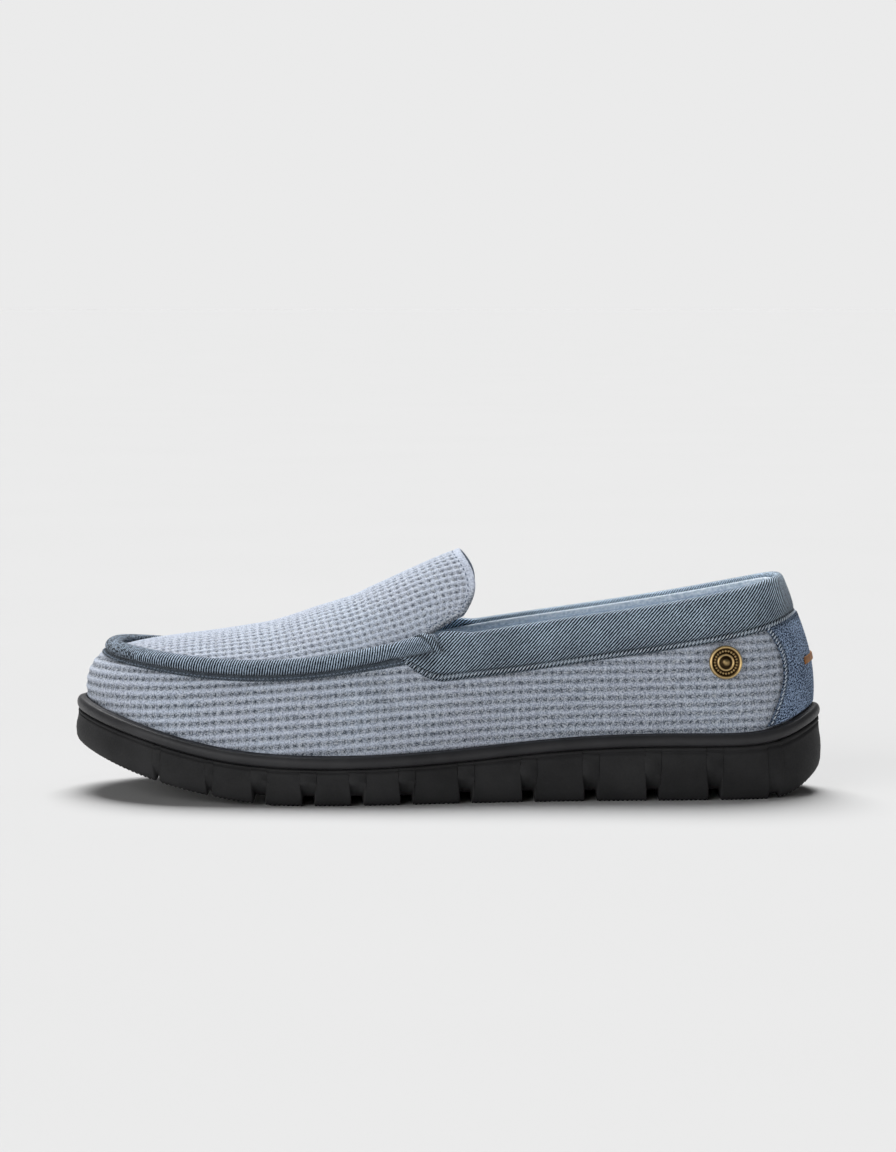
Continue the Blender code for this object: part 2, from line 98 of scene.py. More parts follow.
def ringBends(values):
    count = len(values)
    matrix = 4.0 * np.eye(count) + np.roll(np.eye(count), 1, 0) + np.roll(np.eye(count), -1, 0)
    steps = np.roll(values, -1, 0) - 2.0 * values + np.roll(values, 1, 0)
    return np.linalg.solve(matrix, 6.0 * steps)


def roundRing(values, bends, place):
    # smooth closed curve through numbered values
    first = np.floor(place).astype(int)
    far = (place - first)[..., None]
    near = 1.0 - far
    first = first % len(values)
    second = (first + 1) % len(values)
    return (near * values[first] + far * values[second]
            + ((near ** 3 - near) * bends[first] + (far ** 3 - far) * bends[second]) / 6.0)


ring = lastRing()
ringBend = ringBends(ring)
crownLine = np.polyfit([row[0] * last["length"] for row in last["crown"]],
                       [row[1] * last["instepHeight"] for row in last["crown"]], 4)


def sectionAt(station):
    # along, side, rim, bed, top and inset at a station round the shoe
    return roundRing(ring, ringBend, np.asarray(station, float) * len(ring) / last["stations"])


def planAt(station, inset):
    station, inset = np.broadcast_arrays(np.asarray(station, float), np.asarray(inset, float))
    step = sectionAt(station + 0.01)[..., :2] - sectionAt(station - 0.01)[..., :2]
    outward = np.stack([step[..., 1], -step[..., 0]], -1)
    outward /= np.linalg.norm(outward, axis=-1, keepdims=True)
    return sectionAt(station)[..., :2] - outward * inset[..., None]


def ease(value, low, high):
    share = np.clip((value - low) / (high - low), 0.0, 1.0)
    return share * share * (3.0 - 2.0 * share)


def withHeight(plan, height):
    return np.concatenate([plan, np.broadcast_to(height, plan.shape[:-1])[..., None]], -1)


def wallAt(station, level):
    # outer face of the wall: level 0 at the welt, 1 at the seam or the collar's edge
    station, level = np.broadcast_arrays(np.asarray(station, float), np.asarray(level, float))
    along, _, rim, _, top, inset = np.moveaxis(sectionAt(station), -1, 0)
    fore = ease(along, last["foreStart"], last["foreFull"])
    high = top - rim
    lean = last["quarterLean"] + (last["foreLean"] - last["quarterLean"]) * fore
    drop = last["quarterDrop"] + (last["foreDrop"] - last["quarterDrop"]) * fore
    insets = (last["weltIn"], last["weltIn"] - last["bellyOut"],
              inset - lean * (inset - last["weltIn"]), inset)
    heights = (rim, rim + last["bellyRise"] * high, top - drop * high, top)
    rest = 1.0 - level
    weights = (rest ** 3, 3.0 * level * rest ** 2, 3.0 * level ** 2 * rest, level ** 3)
    plan = planAt(station, sum(weight * value for weight, value in zip(weights, insets)))
    return withHeight(plan, sum(weight * value for weight, value in zip(weights, heights)))


def unit(vectors):
    return vectors / np.maximum(np.linalg.norm(vectors, axis=-1, keepdims=True), 1e-9)


def wallFrame(station, level):
    # a wall point with its outward normal, its upward and its forward-to-heel direction
    ahead = unit(wallAt(station + 0.02, level) - wallAt(station - 0.02, level))
    up = unit(wallAt(station, level + 0.002) - wallAt(station, level - 0.002))
    return wallAt(station, level), unit(np.cross(ahead, up)), up, ahead


def seatAt(station):
    return sectionAt(station)[..., 2] - last["weltHeight"] - last["gap"]


def collarLowAt(station):
    share = np.clip(sectionAt(station)[..., 0] / (0.5 * last["length"]), 0.0, 1.0)
    return last["collarLowBack"] + (last["collarLowFront"] - last["collarLowBack"]) * share


outline = planAt(np.arange(last["stations"]), 0.0)
middle = np.append((outline.max(0) + outline.min(0)) / 2.0, 0.0)


def lengthsOf(points, axis):
    # running length of a grid of points along one of its axes
    steps = np.linalg.norm(np.diff(points, axis=axis), axis=-1)
    start = np.zeros_like(np.take(steps, [0], axis))
    return np.concatenate([start, np.cumsum(steps, axis)], axis)


def evenStations(first, final, step, level):
    # stations at even steps along the wall at one level
    dense = np.linspace(first, final, last["samples"])
    run = lengthsOf(wallAt(dense, level), 0)
    return np.interp(np.linspace(0.0, run[-1], int(round(run[-1] / step)) + 1), run, dense)


def stationAlong(along, side, inset):
    # stations of one side where the outline, moved in by the inset, lies that far along
    dense = np.linspace(0.0, last["stations"] / 2.0, 2 * last["samples"] + 1)[::-1]
    return side * np.interp(along, planAt(side * dense, inset)[:, 0], dense)


def fromToe(station):
    # stations from the toe tip on either side
    return np.minimum(station, last["stations"] - station)


def edgeSteps(length, step, edge):
    # shares of a length with close steps over a rounded edge at both ends
    bend = edge * (1.0 - np.cos(np.linspace(0.0, pi / 2.0, 5)))
    count = max(2, int(round((length - 2.0 * edge) / step)))
    flat = np.linspace(edge, length - edge, count + 1)[1:-1]
    return np.concatenate([bend, flat, length - bend[::-1]]) / length


def normalsOf(points, closed=False):
    if closed:
        wide = np.concatenate([points[:, -2:-1], points, points[:, 1:2]], 1)
        across = wide[:, 2:] - wide[:, :-2]
    else:
        across = np.gradient(points, axis=1)
    return unit(np.cross(across, np.gradient(points, axis=0)))


def sheet(points, weave=None, shade=None):
    size = points.shape[:2]
    return {
        "points": points,
        "weave": np.zeros((*size, 2)) if weave is None else weave,
        "shade": np.zeros(size) if shade is None else np.broadcast_to(shade, size),
    }


def quilt(points, thick, edge, relief=0.0, closed=False, shade=None):
    # cloth of a real thickness: two skins about the points that meet in a rounded free edge
    normal = normalsOf(points, closed)
    up, across = lengthsOf(points, 0), lengthsOf(points, 1)
    inside = np.minimum(up, up[-1:] - up)
    if not closed:
        inside = np.minimum(inside, np.minimum(across, across[:, -1:] - across))
    swell = np.sqrt(1.0 - (1.0 - np.clip(inside / edge, 0.0, 1.0)) ** 2)
    over = points + normal * ((thick / 2.0 + relief) * swell)[..., None]
    under = points - normal * (thick / 2.0 * swell)[..., None]
    weave = np.stack([across, up], -1)
    return [sheet(over, weave, shade), sheet(under, weave, shade)]


def wear(piece, slotName, *nodes):
    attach(piece, "root")
    if nodes:
        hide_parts(*nodes)
    return piece


def showMesh(name, bm, finish):
    mesh = bpy.data.meshes.new(name)
    bm.to_mesh(mesh)
    bm.free()
    mesh.shade_smooth()
    mesh.materials.append(finish)
    piece = bpy.data.objects.new(name, mesh)
    bpy.context.scene.collection.objects.link(piece)
    return piece


def makePiece(name, sheets, finish):
    # grids bent to their points and joined where their edges meet
    bm = bmesh.new()
    for part in sheets:
        rows, columns = part["points"].shape[:2]
        bmesh.ops.create_grid(bm, x_segments=columns - 1, y_segments=rows - 1, size=0.5)
    mesh = bpy.data.meshes.new(name)
    bm.to_mesh(mesh)
    place = np.empty(len(mesh.vertices) * 3)
    mesh.vertices.foreach_get("co", place)
    place = place.reshape(-1, 3)
    weave = np.empty((len(place), 2))
    shade = np.empty(len(place))
    start = 0
    for part in sheets:
        rows, columns = part["points"].shape[:2]
        span = slice(start, start + rows * columns)
        column = np.rint((place[span, 0] + 0.5) * (columns - 1)).astype(int)
        row = np.rint((place[span, 1] + 0.5) * (rows - 1)).astype(int)
        place[span] = (part["points"][row, column] - middle) * mm
        weave[span] = part["weave"][row, column]
        shade[span] = part["shade"][row, column]
        start = span.stop
    mesh.vertices.foreach_set("co", place.ravel())
    corners = np.empty(len(mesh.loops), int)
    mesh.loops.foreach_get("vertex_index", corners)
    mesh.uv_layers.new(name="weave").data.foreach_set("uv", weave[corners].ravel())
    mesh.attributes.new("shade", "FLOAT", "POINT").data.foreach_set("value", shade)
    bm.clear()
    bm.from_mesh(mesh)
    bpy.data.meshes.remove(mesh)
    bmesh.ops.remove_doubles(bm, verts=bm.verts, dist=weld * mm)
    bmesh.ops.recalc_face_normals(bm, faces=bm.faces)
    return showMesh(name, bm, finish)


def sewStitches(name, rows, finish):
    # each row: points, lengthwise directions, normals and the thread's length, width and height
    bm = bmesh.new()
    for points, ahead, normal, size in rows:
        side = unit(np.cross(normal, ahead))
        for at, long, flat, high in zip((points - middle) * mm, ahead, side, normal):
            axes = [Vector(axis) * (half * mm / 2.0)
                    for axis, half in zip((flat, high, long), (size[1], size[2], size[0]))]
            turn = Matrix((axes[0], axes[1], axes[2])).transposed().to_4x4()
            bmesh.ops.create_uvsphere(bm, u_segments=6, v_segments=4, radius=1.0,
                                      matrix=Matrix.Translation(at) @ turn)
    bmesh.ops.recalc_face_normals(bm, faces=bm.faces)
    return showMesh(name, bm, finish)


# Materials

def hexColour(code):
    shares = [int(code[at:at + 2], 16) / 255.0 for at in (1, 3, 5)]
    return [share / 12.92 if share <= 0.04045 else ((share + 0.055) / 1.055) ** 2.4
            for share in shares] + [1.0]


def addNode(tree, kind, settings=None, links=None):
    node = tree.nodes.new(kind)
    for key, value in (settings or {}).items():
        if key == "ramp":
            for element, (place, colour) in zip(node.color_ramp.elements, value):
                element.position = place
                element.color = colour
        elif hasattr(node, str(key)):
            setattr(node, key, value)
        else:
            node.inputs[key].default_value = value
    for key, source in (links or {}).items():
        tree.links.new(source, node.inputs[key])
    return node


def newFinish(name, settings):
    finish = bpy.data.materials.new(name)
    finish.use_nodes = True
    for key, value in settings.items():
        finish.node_tree.nodes["Principled BSDF"].inputs[key].default_value = value
    return finish, finish.node_tree


def plugIn(finish, links):
    # runs finished patterns into the shader's sockets
    tree = finish.node_tree
    for key, source in links.items():
        tree.links.new(source, tree.nodes["Principled BSDF"].inputs[key])
    return finish


def grey(tone):
    return (tone, tone, tone, 1.0)


multiply = {"data_type": "RGBA", "blend_type": "MULTIPLY", 0: 1.0}


knitYarn = {
    "ridge": "#bccadd",
    # the dot colour is painted shade for the recessed cells
    "dot": "#2d3845",
    "paleFibre": "#e2e7ed",
    "lilac": "#bfc5d7",
    "fibre": 0.6,  # mm, drawn coarser than the real fuzz so that it shows
    "patch": 26.0,
}


def waffleKnit():
    # Brushed cotton waffle knit: soft pale cells, recessed dots darkened with painted shade, heathered
    # fibres, no gloss
    finish, tree = newFinish("waffle_knit_cotton", {
        "Roughness": 0.95, "Specular IOR Level": 0.15, "Sheen Weight": 0.12, "Sheen Roughness": 0.6})
    place = addNode(tree, "ShaderNodeTexCoord").outputs["Object"]
    shade = addNode(tree, "ShaderNodeAttribute", {"attribute_name": "shade"})
    fibre = addNode(tree, "ShaderNodeTexNoise",
                    {"Scale": 1.0 / (knitYarn["fibre"] * mm), "Detail": 3.0, "Roughness": 0.65},
                    {"Vector": place})
    patch = addNode(tree, "ShaderNodeTexNoise",
                    {"Scale": 1.0 / (knitYarn["patch"] * mm), "Detail": 1.0}, {"Vector": place})
    fleck = addNode(tree, "ShaderNodeValToRGB", {"ramp": [(0.46, grey(0.0)), (0.64, grey(1.0))]},
                    {"Fac": fibre.outputs["Fac"]})
    # darker where the fuzz bump is low: heathered yarn, and painted shade in the hollows between fibres
    hollow = addNode(tree, "ShaderNodeValToRGB", {"ramp": [(0.34, grey(0.52)), (0.50, grey(1.0))]},
                     {"Fac": fibre.outputs["Fac"]})
    tint = addNode(tree, "ShaderNodeMix",
                   {"data_type": "RGBA", 6: hexColour(knitYarn["ridge"]), 7: hexColour(knitYarn["lilac"])},
                   {0: patch.outputs["Fac"]})
    # painted shade from the shade attribute: the dot colour in the recessed cells, over the wall towards
    # heel and toe, and on the tongue's turned-under edge and back
    cell = addNode(tree, "ShaderNodeMix", {"data_type": "RGBA", 7: hexColour(knitYarn["dot"])},
                   {0: shade.outputs["Fac"], 6: tint.outputs[2]})
    amount = addNode(tree, "ShaderNodeMath", {"operation": "MULTIPLY", 1: 0.6},
                     {0: fleck.outputs["Color"]})
    hairs = addNode(tree, "ShaderNodeMix", {"data_type": "RGBA", 7: hexColour(knitYarn["paleFibre"])},
                    {0: amount.outputs[0], 6: cell.outputs[2]})
    colour = addNode(tree, "ShaderNodeMix", multiply,
                     {6: hairs.outputs[2], 7: hollow.outputs["Color"]})
    fuzz = addNode(tree, "ShaderNodeBump", {"Strength": 0.5, "Distance": 0.25 * mm},
                   {"Height": fibre.outputs["Fac"]})
    return plugIn(finish, {"Base Color": colour.outputs[2], "Normal": fuzz.outputs["Normal"]})


twill = {
    # dyes, turn of the lines, their pitch in mm, and size of the yarn's slubs
    # the pitch is near the finest that the picture can show
    "collar": {"indigo": "#0b151f", "weft": "#bccfe1", "turn": 45.0, "pitch": 0.94, "slub": 0.75},
    "roll": {"indigo": "#0b141e", "weft": "#b0c2d5", "turn": 80.0, "pitch": 0.98, "slub": 0.85},
    "slubShare": 0.25,
    "toeFrom": 112.0,  # more slub than line shows where the cloth is stretched round the toe
    "toeTo": 135.0,
    "toeShare": 0.5,
    "paintedShadeTone": 0.35,  # tone of the cloth where the painted shade is full
}


def twillDenim(name, cloth):
    # Cotton twill denim: dark indigo lines between pale ones, slubby yarn, dry and matte
    finish, tree = newFinish(name, {
        "Roughness": 0.88, "Specular IOR Level": 0.2, "Sheen Weight": 0.08})
    weave = addNode(tree, "ShaderNodeUVMap", {"uv_map": "weave"}).outputs["UV"]
    shade = addNode(tree, "ShaderNodeAttribute", {"attribute_name": "shade"})
    turned = addNode(tree, "ShaderNodeMapping", {"Rotation": (0.0, 0.0, pi / 2.0 - radians(cloth["turn"]))},
                     {"Vector": weave})
    lines = addNode(tree, "ShaderNodeTexWave",
                    {"Scale": pi / 10.0 / cloth["pitch"], "Distortion": 0.6,
                     "Detail": 2.0, "Detail Scale": 1.6},
                    {"Vector": turned.outputs["Vector"]})
    place = addNode(tree, "ShaderNodeTexCoord").outputs["Object"]
    along = addNode(tree, "ShaderNodeSeparateXYZ", None, {"Vector": place})
    slub = addNode(tree, "ShaderNodeTexNoise", {"Scale": 1.0 / (cloth["slub"] * mm), "Detail": 1.0},
                   {"Vector": place})
    speck = addNode(tree, "ShaderNodeValToRGB", {"ramp": [(0.40, grey(0.0)), (0.60, grey(1.0))]},
                    {"Fac": slub.outputs["Fac"]})
    wash = addNode(tree, "ShaderNodeTexNoise", {"Scale": 0.06, "Detail": 2.0}, {"Vector": weave})
    stretch = addNode(tree, "ShaderNodeMapRange",
                      {"From Min": twill["toeFrom"] * mm, "From Max": twill["toeTo"] * mm,
                       "To Min": twill["slubShare"], "To Max": twill["toeShare"]},
                      {"Value": along.outputs["X"]})
    yarn = addNode(tree, "ShaderNodeMix", {"data_type": "FLOAT"},
                   {0: stretch.outputs["Result"], 2: lines.outputs["Fac"], 3: speck.outputs["Color"]})
    spread = addNode(tree, "ShaderNodeValToRGB",
                     {"ramp": [(0.51, hexColour(cloth["indigo"])), (0.70, hexColour(cloth["weft"]))]},
                     {"Fac": yarn.outputs[0]})
    worn = addNode(tree, "ShaderNodeValToRGB", {"ramp": [(0.30, grey(0.82)), (0.70, grey(1.12))]},
                   {"Fac": wash.outputs["Fac"]})
    # painted shade from the shade attribute: darker at the collar's hem and towards it, on the flap under
    # the roll, at the roll's foot, on the flange and at the strap's edges; below zero it paints light on
    # the inside of the collar's edge
    hem = addNode(tree, "ShaderNodeMapRange", {"clamp": False, "To Min": 1.0, "To Max": twill["paintedShadeTone"]},
                  {"Value": shade.outputs["Fac"]})
    tone = addNode(tree, "ShaderNodeMix", multiply,
                   {6: worn.outputs["Color"], 7: hem.outputs["Result"]})
    colour = addNode(tree, "ShaderNodeMix", multiply,
                     {6: spread.outputs["Color"], 7: tone.outputs[2]})
    relief = addNode(tree, "ShaderNodeBump", {"Strength": 0.7, "Distance": 0.3 * mm},
                     {"Height": yarn.outputs[0]})
    return plugIn(finish, {"Base Color": colour.outputs[2], "Normal": relief.outputs["Normal"]})


def speckledDenim():
    # Slub denim of the heel counter: navy with irregular pale flecks
    finish, tree = newFinish("slub_denim", {"Roughness": 0.9, "Specular IOR Level": 0.2})
    shade = addNode(tree, "ShaderNodeAttribute", {"attribute_name": "shade"})
    weave = addNode(tree, "ShaderNodeUVMap", {"uv_map": "weave"}).outputs["UV"]
    # flecks of half a millimetre, drawn a little coarser so that they show
    fleck = addNode(tree, "ShaderNodeTexNoise", {"Scale": 1.5, "Detail": 2.0, "Roughness": 0.6},
                    {"Vector": weave})
    worn = addNode(tree, "ShaderNodeTexNoise", {"Scale": 0.09, "Detail": 1.0}, {"Vector": weave})
    tone = addNode(tree, "ShaderNodeMix", {"data_type": "FLOAT", 0: 0.12},
                   {2: fleck.outputs["Fac"], 3: worn.outputs["Fac"]})
    blue = addNode(tree, "ShaderNodeValToRGB",
                   {"ramp": [(0.45, hexColour("#0f1b31")), (0.565, hexColour("#9fb5d3"))]},
                   {"Fac": tone.outputs[0]})
    # darker by the shade attribute: the seam band along the front edges, and painted shadow under the
    # collar's edge
    edge = addNode(tree, "ShaderNodeMapRange", {"To Min": 1.0, "To Max": 0.3},
                   {"Value": shade.outputs["Fac"]})
    colour = addNode(tree, "ShaderNodeMix", multiply,
                     {6: blue.outputs["Color"], 7: edge.outputs["Result"]})
    relief = addNode(tree, "ShaderNodeBump", {"Strength": 0.6, "Distance": 0.3 * mm},
                     {"Height": fleck.outputs["Fac"]})
    return plugIn(finish, {"Base Color": colour.outputs[2], "Normal": relief.outputs["Normal"]})


def brushedLining():
    # Brushed cotton lining: pale blue, a soft nap in small clumps
    finish, tree = newFinish("brushed_cotton_lining", {
        "Roughness": 0.95, "Specular IOR Level": 0.15, "Sheen Weight": 0.2})
    place = addNode(tree, "ShaderNodeTexCoord").outputs["Object"]
    nap = addNode(tree, "ShaderNodeTexNoise", {"Scale": 1.0 / (0.9 * mm), "Detail": 3.0}, {"Vector": place})
    colour = addNode(tree, "ShaderNodeValToRGB",
                     {"ramp": [(0.36, hexColour("#adbdcd")), (0.66, hexColour("#dfe7ef"))]},
                     {"Fac": nap.outputs["Fac"]})
    relief = addNode(tree, "ShaderNodeBump", {"Strength": 0.6, "Distance": 0.3 * mm},
                     {"Height": nap.outputs["Fac"]})
    return plugIn(finish, {"Base Color": colour.outputs["Color"], "Normal": relief.outputs["Normal"]})


def mouldedRubber(name, low, high, grain, gloss, shine):
    # Moulded black rubber: near black, a fine grain from the mould and soft broad highlights
    finish, tree = newFinish(name, {"Specular IOR Level": shine})
    place = addNode(tree, "ShaderNodeTexCoord").outputs["Object"]
    pores = addNode(tree, "ShaderNodeTexNoise", {"Scale": 1.0 / (grain * mm), "Detail": 2.0},
                    {"Vector": place})
    dust = addNode(tree, "ShaderNodeTexNoise", {"Scale": 1.0 / (18.0 * mm), "Detail": 3.0},
                   {"Vector": place})
    colour = addNode(tree, "ShaderNodeValToRGB", {"ramp": [(0.3, hexColour(low)), (0.7, hexColour(high))]},
                     {"Fac": dust.outputs["Fac"]})
    polish = addNode(tree, "ShaderNodeMapRange", {"From Min": 0.3, "From Max": 0.7, "To Min": gloss,
                                                  "To Max": gloss + 0.15}, {"Value": pores.outputs["Fac"]})
    relief = addNode(tree, "ShaderNodeBump", {"Strength": 0.35, "Distance": 0.12 * mm},
                     {"Height": pores.outputs["Fac"]})
    return plugIn(finish, {"Base Color": colour.outputs["Color"], "Roughness": polish.outputs["Result"],
                           "Normal": relief.outputs["Normal"]})


def tanLeather():
    # Vegetable-tanned leather: warm brown, pebbled grain, a low waxed sheen
    finish, tree = newFinish("tan_leather", {"Roughness": 0.55})
    place = addNode(tree, "ShaderNodeTexCoord").outputs["Object"]
    pebble = addNode(tree, "ShaderNodeTexVoronoi", {"Scale": 1.0 / (0.8 * mm)}, {"Vector": place})
    tone = addNode(tree, "ShaderNodeTexNoise", {"Scale": 1.0 / (2.5 * mm), "Detail": 3.0},
                   {"Vector": place})
    colour = addNode(tree, "ShaderNodeValToRGB",
                     {"ramp": [(0.3, hexColour("#6f431c")), (0.7, hexColour("#a0692c"))]},
                     {"Fac": tone.outputs["Fac"]})
    relief = addNode(tree, "ShaderNodeBump", {"Strength": 0.4, "Distance": 0.15 * mm},
                     {"Height": pebble.outputs["Distance"]})
    return plugIn(finish, {"Base Color": colour.outputs["Color"], "Normal": relief.outputs["Normal"]})


def antiqueBrass():
    # Pressed brass with an antique wash: bright on the high places, brown in the recesses
    finish, tree = newFinish("antique_brass", {"Metallic": 1.0})
    place = addNode(tree, "ShaderNodeTexCoord").outputs["Object"]
    shade = addNode(tree, "ShaderNodeAttribute", {"attribute_name": "shade"})
    stain = addNode(tree, "ShaderNodeTexNoise", {"Scale": 1.0 / (0.9 * mm), "Detail": 3.0},
                    {"Vector": place})
    wash = addNode(tree, "ShaderNodeMath", {"operation": "MULTIPLY_ADD", 1: 0.35, "use_clamp": True},
                   {0: stain.outputs["Fac"], 2: shade.outputs["Fac"]})
    colour = addNode(tree, "ShaderNodeValToRGB",
                     {"ramp": [(0.15, hexColour("#e3c48c")), (0.85, hexColour("#3f3221"))]},
                     {"Fac": wash.outputs[0]})
    polish = addNode(tree, "ShaderNodeMapRange", {"To Min": 0.3, "To Max": 0.55},
                     {"Value": wash.outputs[0]})
    return plugIn(finish, {"Base Color": colour.outputs["Color"], "Roughness": polish.outputs["Result"]})


def cottonThread(name, low, high):
    # Twisted cotton sewing thread: matte, with the tone of its plies
    finish, tree = newFinish(name, {"Roughness": 0.85, "Specular IOR Level": 0.2})
    place = addNode(tree, "ShaderNodeTexCoord").outputs["Object"]
    ply = addNode(tree, "ShaderNodeTexNoise", {"Scale": 1.0 / (0.6 * mm), "Detail": 2.0}, {"Vector": place})
    colour = addNode(tree, "ShaderNodeValToRGB", {"ramp": [(0.3, hexColour(low)), (0.7, hexColour(high))]},
                     {"Fac": ply.outputs["Fac"]})
    return plugIn(finish, {"Base Color": colour.outputs["Color"]})


knit = waffleKnit()
collarTwill = twillDenim("twill_denim_collar", twill["collar"])
rollTwill = twillDenim("twill_denim_roll", twill["roll"])
counterDenim = speckledDenim()
lining = brushedLining()
soleRubber = mouldedRubber("moulded_rubber_matte", "#222223", "#2e2e2f", 0.7, 0.6, 0.2)
beadRubber = mouldedRubber("moulded_rubber_satin", "#28282a", "#353537", 0.9, 0.38, 0.3)
leather = tanLeather()
brass = antiqueBrass()
paleThread = cottonThread("pale_cotton_thread", "#aab7c6", "#d3dbe4")
blueThread = cottonThread("blue_cotton_thread", "#3c4a5d", "#5a697d")
greyThread = cottonThread("grey_cotton_thread", "#66758a", "#93a1b3")
print("materials ready:", len(bpy.data.materials))


# Outsole

sole = {
    "toeSpring": 20.0,
    "springStart": 212.0,
    "springPower": 1.7,
    "heelLift": 9.0,
    "heelLiftStart": 22.0,
    # first groove, pitch, count, depth, width, and how far its end cuts into the side
    "grooves": ((264.3, 20.9, 2, 2.2, 1.8, 1.2), (223.8, 19.3, 4, 3.5, 4.8, 3.0),
                (142.8, 24.5, 5, 4.2, 4.8, 3.0), (20.3, 0.0, 1, 2.0, 4.4, 0.6)),
    "notchHeel": 12.5,
    "notchToe": 7.5,
    "flare": 0.9,
    "ribPitch": 1.8,
    "ribDepth": 0.45,
    "ribSteps": 4,
    "closeEnd": 2.0,  # columns lie closer here at both ends
    "corner": 0.12,  # half width of a groove's edge
    # share of the side's height and inset, from the tread up
    "side": ((0.0, 2.2), (0.05, 1.3), (0.10, 0.7), (0.20, 0.2), (0.42, 0.0), (0.58, 0.22),
             (0.72, 0.7), (0.84, 0.95), (0.885, 0.95), (0.90, 1.5), (0.925, 1.5), (0.94, 0.9),
             (0.985, 1.0), (1.0, 1.6)),
    # inset and which height: 0 the seat, 1 the bed
    "top": ((4.0, 0), (7.6, 0), (10.5, 1)),
    "bottomRows": 12,
}


def treadAt(along):
    toe = np.clip((along - sole["springStart"]) / (last["length"] - sole["springStart"]), 0.0, 1.0)
    heel = np.clip((sole["heelLiftStart"] - along) / sole["heelLiftStart"], 0.0, 1.0)
    return sole["toeSpring"] * toe ** sole["springPower"] + sole["heelLift"] * heel ** 2


def soleColumns():
    # along, inside a groove, side of its edge, groove depth, notch height and notch depth for each column
    length, corner = last["length"], sole["corner"]
    close, step = sole["closeEnd"], sole["ribPitch"] / sole["ribSteps"]
    tip = close * np.linspace(0.0, 1.0, 13)[:-1] ** 2
    plain = np.concatenate([tip, np.arange(close, length - close, step), length - tip[::-1]])
    rows = []
    for first, pitch, count, depth, width, cut in sole["grooves"]:
        for along in first - pitch * np.arange(count):
            plain = plain[abs(plain - along) > width / 2.0 + 3.0 * corner]
            notch = sole["notchHeel"] + (sole["notchToe"] - sole["notchHeel"]) * along / length
            for side in (-1, 1):
                rows.append((along + side * (width / 2.0 + corner), 0, side, depth, notch, cut))
                rows.append((along + side * (width / 2.0 - corner), 1, side, depth, notch, cut))
            rows.append((along, 1, 0, depth, notch, cut))
    rows += [(along, 0, 0, 0.0, 1.0, 0.0) for along in plain]
    return np.array(sorted(rows)).T


def outsole():
    along, inside, edge, depth, notch, cut = soleColumns()
    low = treadAt(along)
    floor = low + inside * depth

    def sideRow(side, share, inset):
        at = stationAlong(along, side, 0.0)
        high = floor + share * (seatAt(at) - floor)
        rise = np.clip((high - low - depth) / (notch - depth), 0.0, 1.0)
        point = withHeight(planAt(at, inset + inside * cut * (1.0 - rise)), high)
        point[:, 0] += edge * sole["flare"] * rise
        return point

    def topRow(side, inset, bed):
        at = stationAlong(along, side, 0.0)
        return withHeight(planAt(at, inset), sectionAt(at)[:, 3] if bed else seatAt(at))

    lateral = [sideRow(1, share, inset) for share, inset in sole["side"]]
    medial = [sideRow(-1, share, inset) for share, inset in sole["side"]]
    ribs = sole["ribDepth"] * (0.5 - 0.5 * np.cos(2.0 * pi * along / sole["ribPitch"])) * (1 - inside)
    bottom = []
    for share in np.linspace(0.0, 1.0, sole["bottomRows"]):
        row = medial[0] * (1.0 - share) + lateral[0] * share
        row[:, 2] = floor + ribs
        bottom.append(row)
    top = [topRow(1, *row) for row in sole["top"]] + [topRow(-1, *row) for row in sole["top"][::-1]]
    points = np.array(bottom + lateral[1:] + top + medial[:0:-1] + bottom[:1])
    return wear(makePiece("outsole_lugs", [sheet(points)], soleRubber), "outsole_rubber", "outsole")


outsole()
print("outsole moulded")


# Welt bead

bead = {
    "step": 1.6,
    "rows": 24,
    # inset and height round the bead's section
    "section": ((4.3, 0.0), (1.7, 0.05), (0.75, 0.9), (0.45, 2.3), (0.8, 3.7), (1.7, 4.6), (2.9, 4.85),
                (4.3, 4.5)),
}


def closedRows(rows, count):
    # smooth closed section through a few rows of points
    flat = np.array(rows).reshape(len(rows), -1)
    place = np.linspace(0.0, len(rows), count + 1)
    return roundRing(flat, ringBends(flat), place).reshape(count + 1, *np.array(rows).shape[1:])


def weltBead():
    at = evenStations(0.0, last["stations"], bead["step"], 0.0)
    rows = [withHeight(planAt(at, inset), seatAt(at) + last["gap"] + height)
            for inset, height in bead["section"]]
    points = closedRows(rows, bead["rows"])
    return wear(makePiece("welt_bead", [sheet(points)], beadRubber), "welt_rubber", "welt")


weltBead()
print("welt laid")


# Knit wall

knitting = {
    "dotPitch": 3.2,
    "dotSteps": 5,
    "dotLevel": 0.45,  # level of the wall where the dots have their pitch
    "tall": 40.0,
    "rowStep": 0.58,
    "band": 0.55,
    "depth": 0.7,
    "thick": 1.4,
    "edge": 1.0,
    "under": 4.4,  # how far the wall goes down behind the bead
    "tuck": 0.12,  # and up behind the collar, as a share of its height
    "tuckFrom": (-1.0, 0.6),  # stations before and after the throat
    "backRows": (4, 9),  # rows of its plain back: close ones at each edge, and those between
    # along the shoe and height of one row of cells, which shows how the rows run
    "rowLine": ((0.0, 48.4), (60.0, 46.3), (130.0, 44.8), (150.0, 44.0), (190.0, 42.2), (230.0, 38.4),
                (265.0, 35.8), (300.0, 34.6)),
    # along the shoe and height of a cell
    "rowPitch": ((0.0, 3.42), (100.0, 3.45), (150.0, 3.63), (200.0, 3.76), (250.0, 3.70), (300.0, 3.68)),
    # painted shade: along the shoe and how far the whole cloth leans to the dots' darker tone, darker
    # towards the heel and the toe where less light falls
    "paintedShadeAlong": ((0.0, 0.17), (60.0, 0.20), (100.0, 0.20), (150.0, 0.09), (185.0, 0.0), (262.0, 0.0),
              (290.0, 0.14)),
}

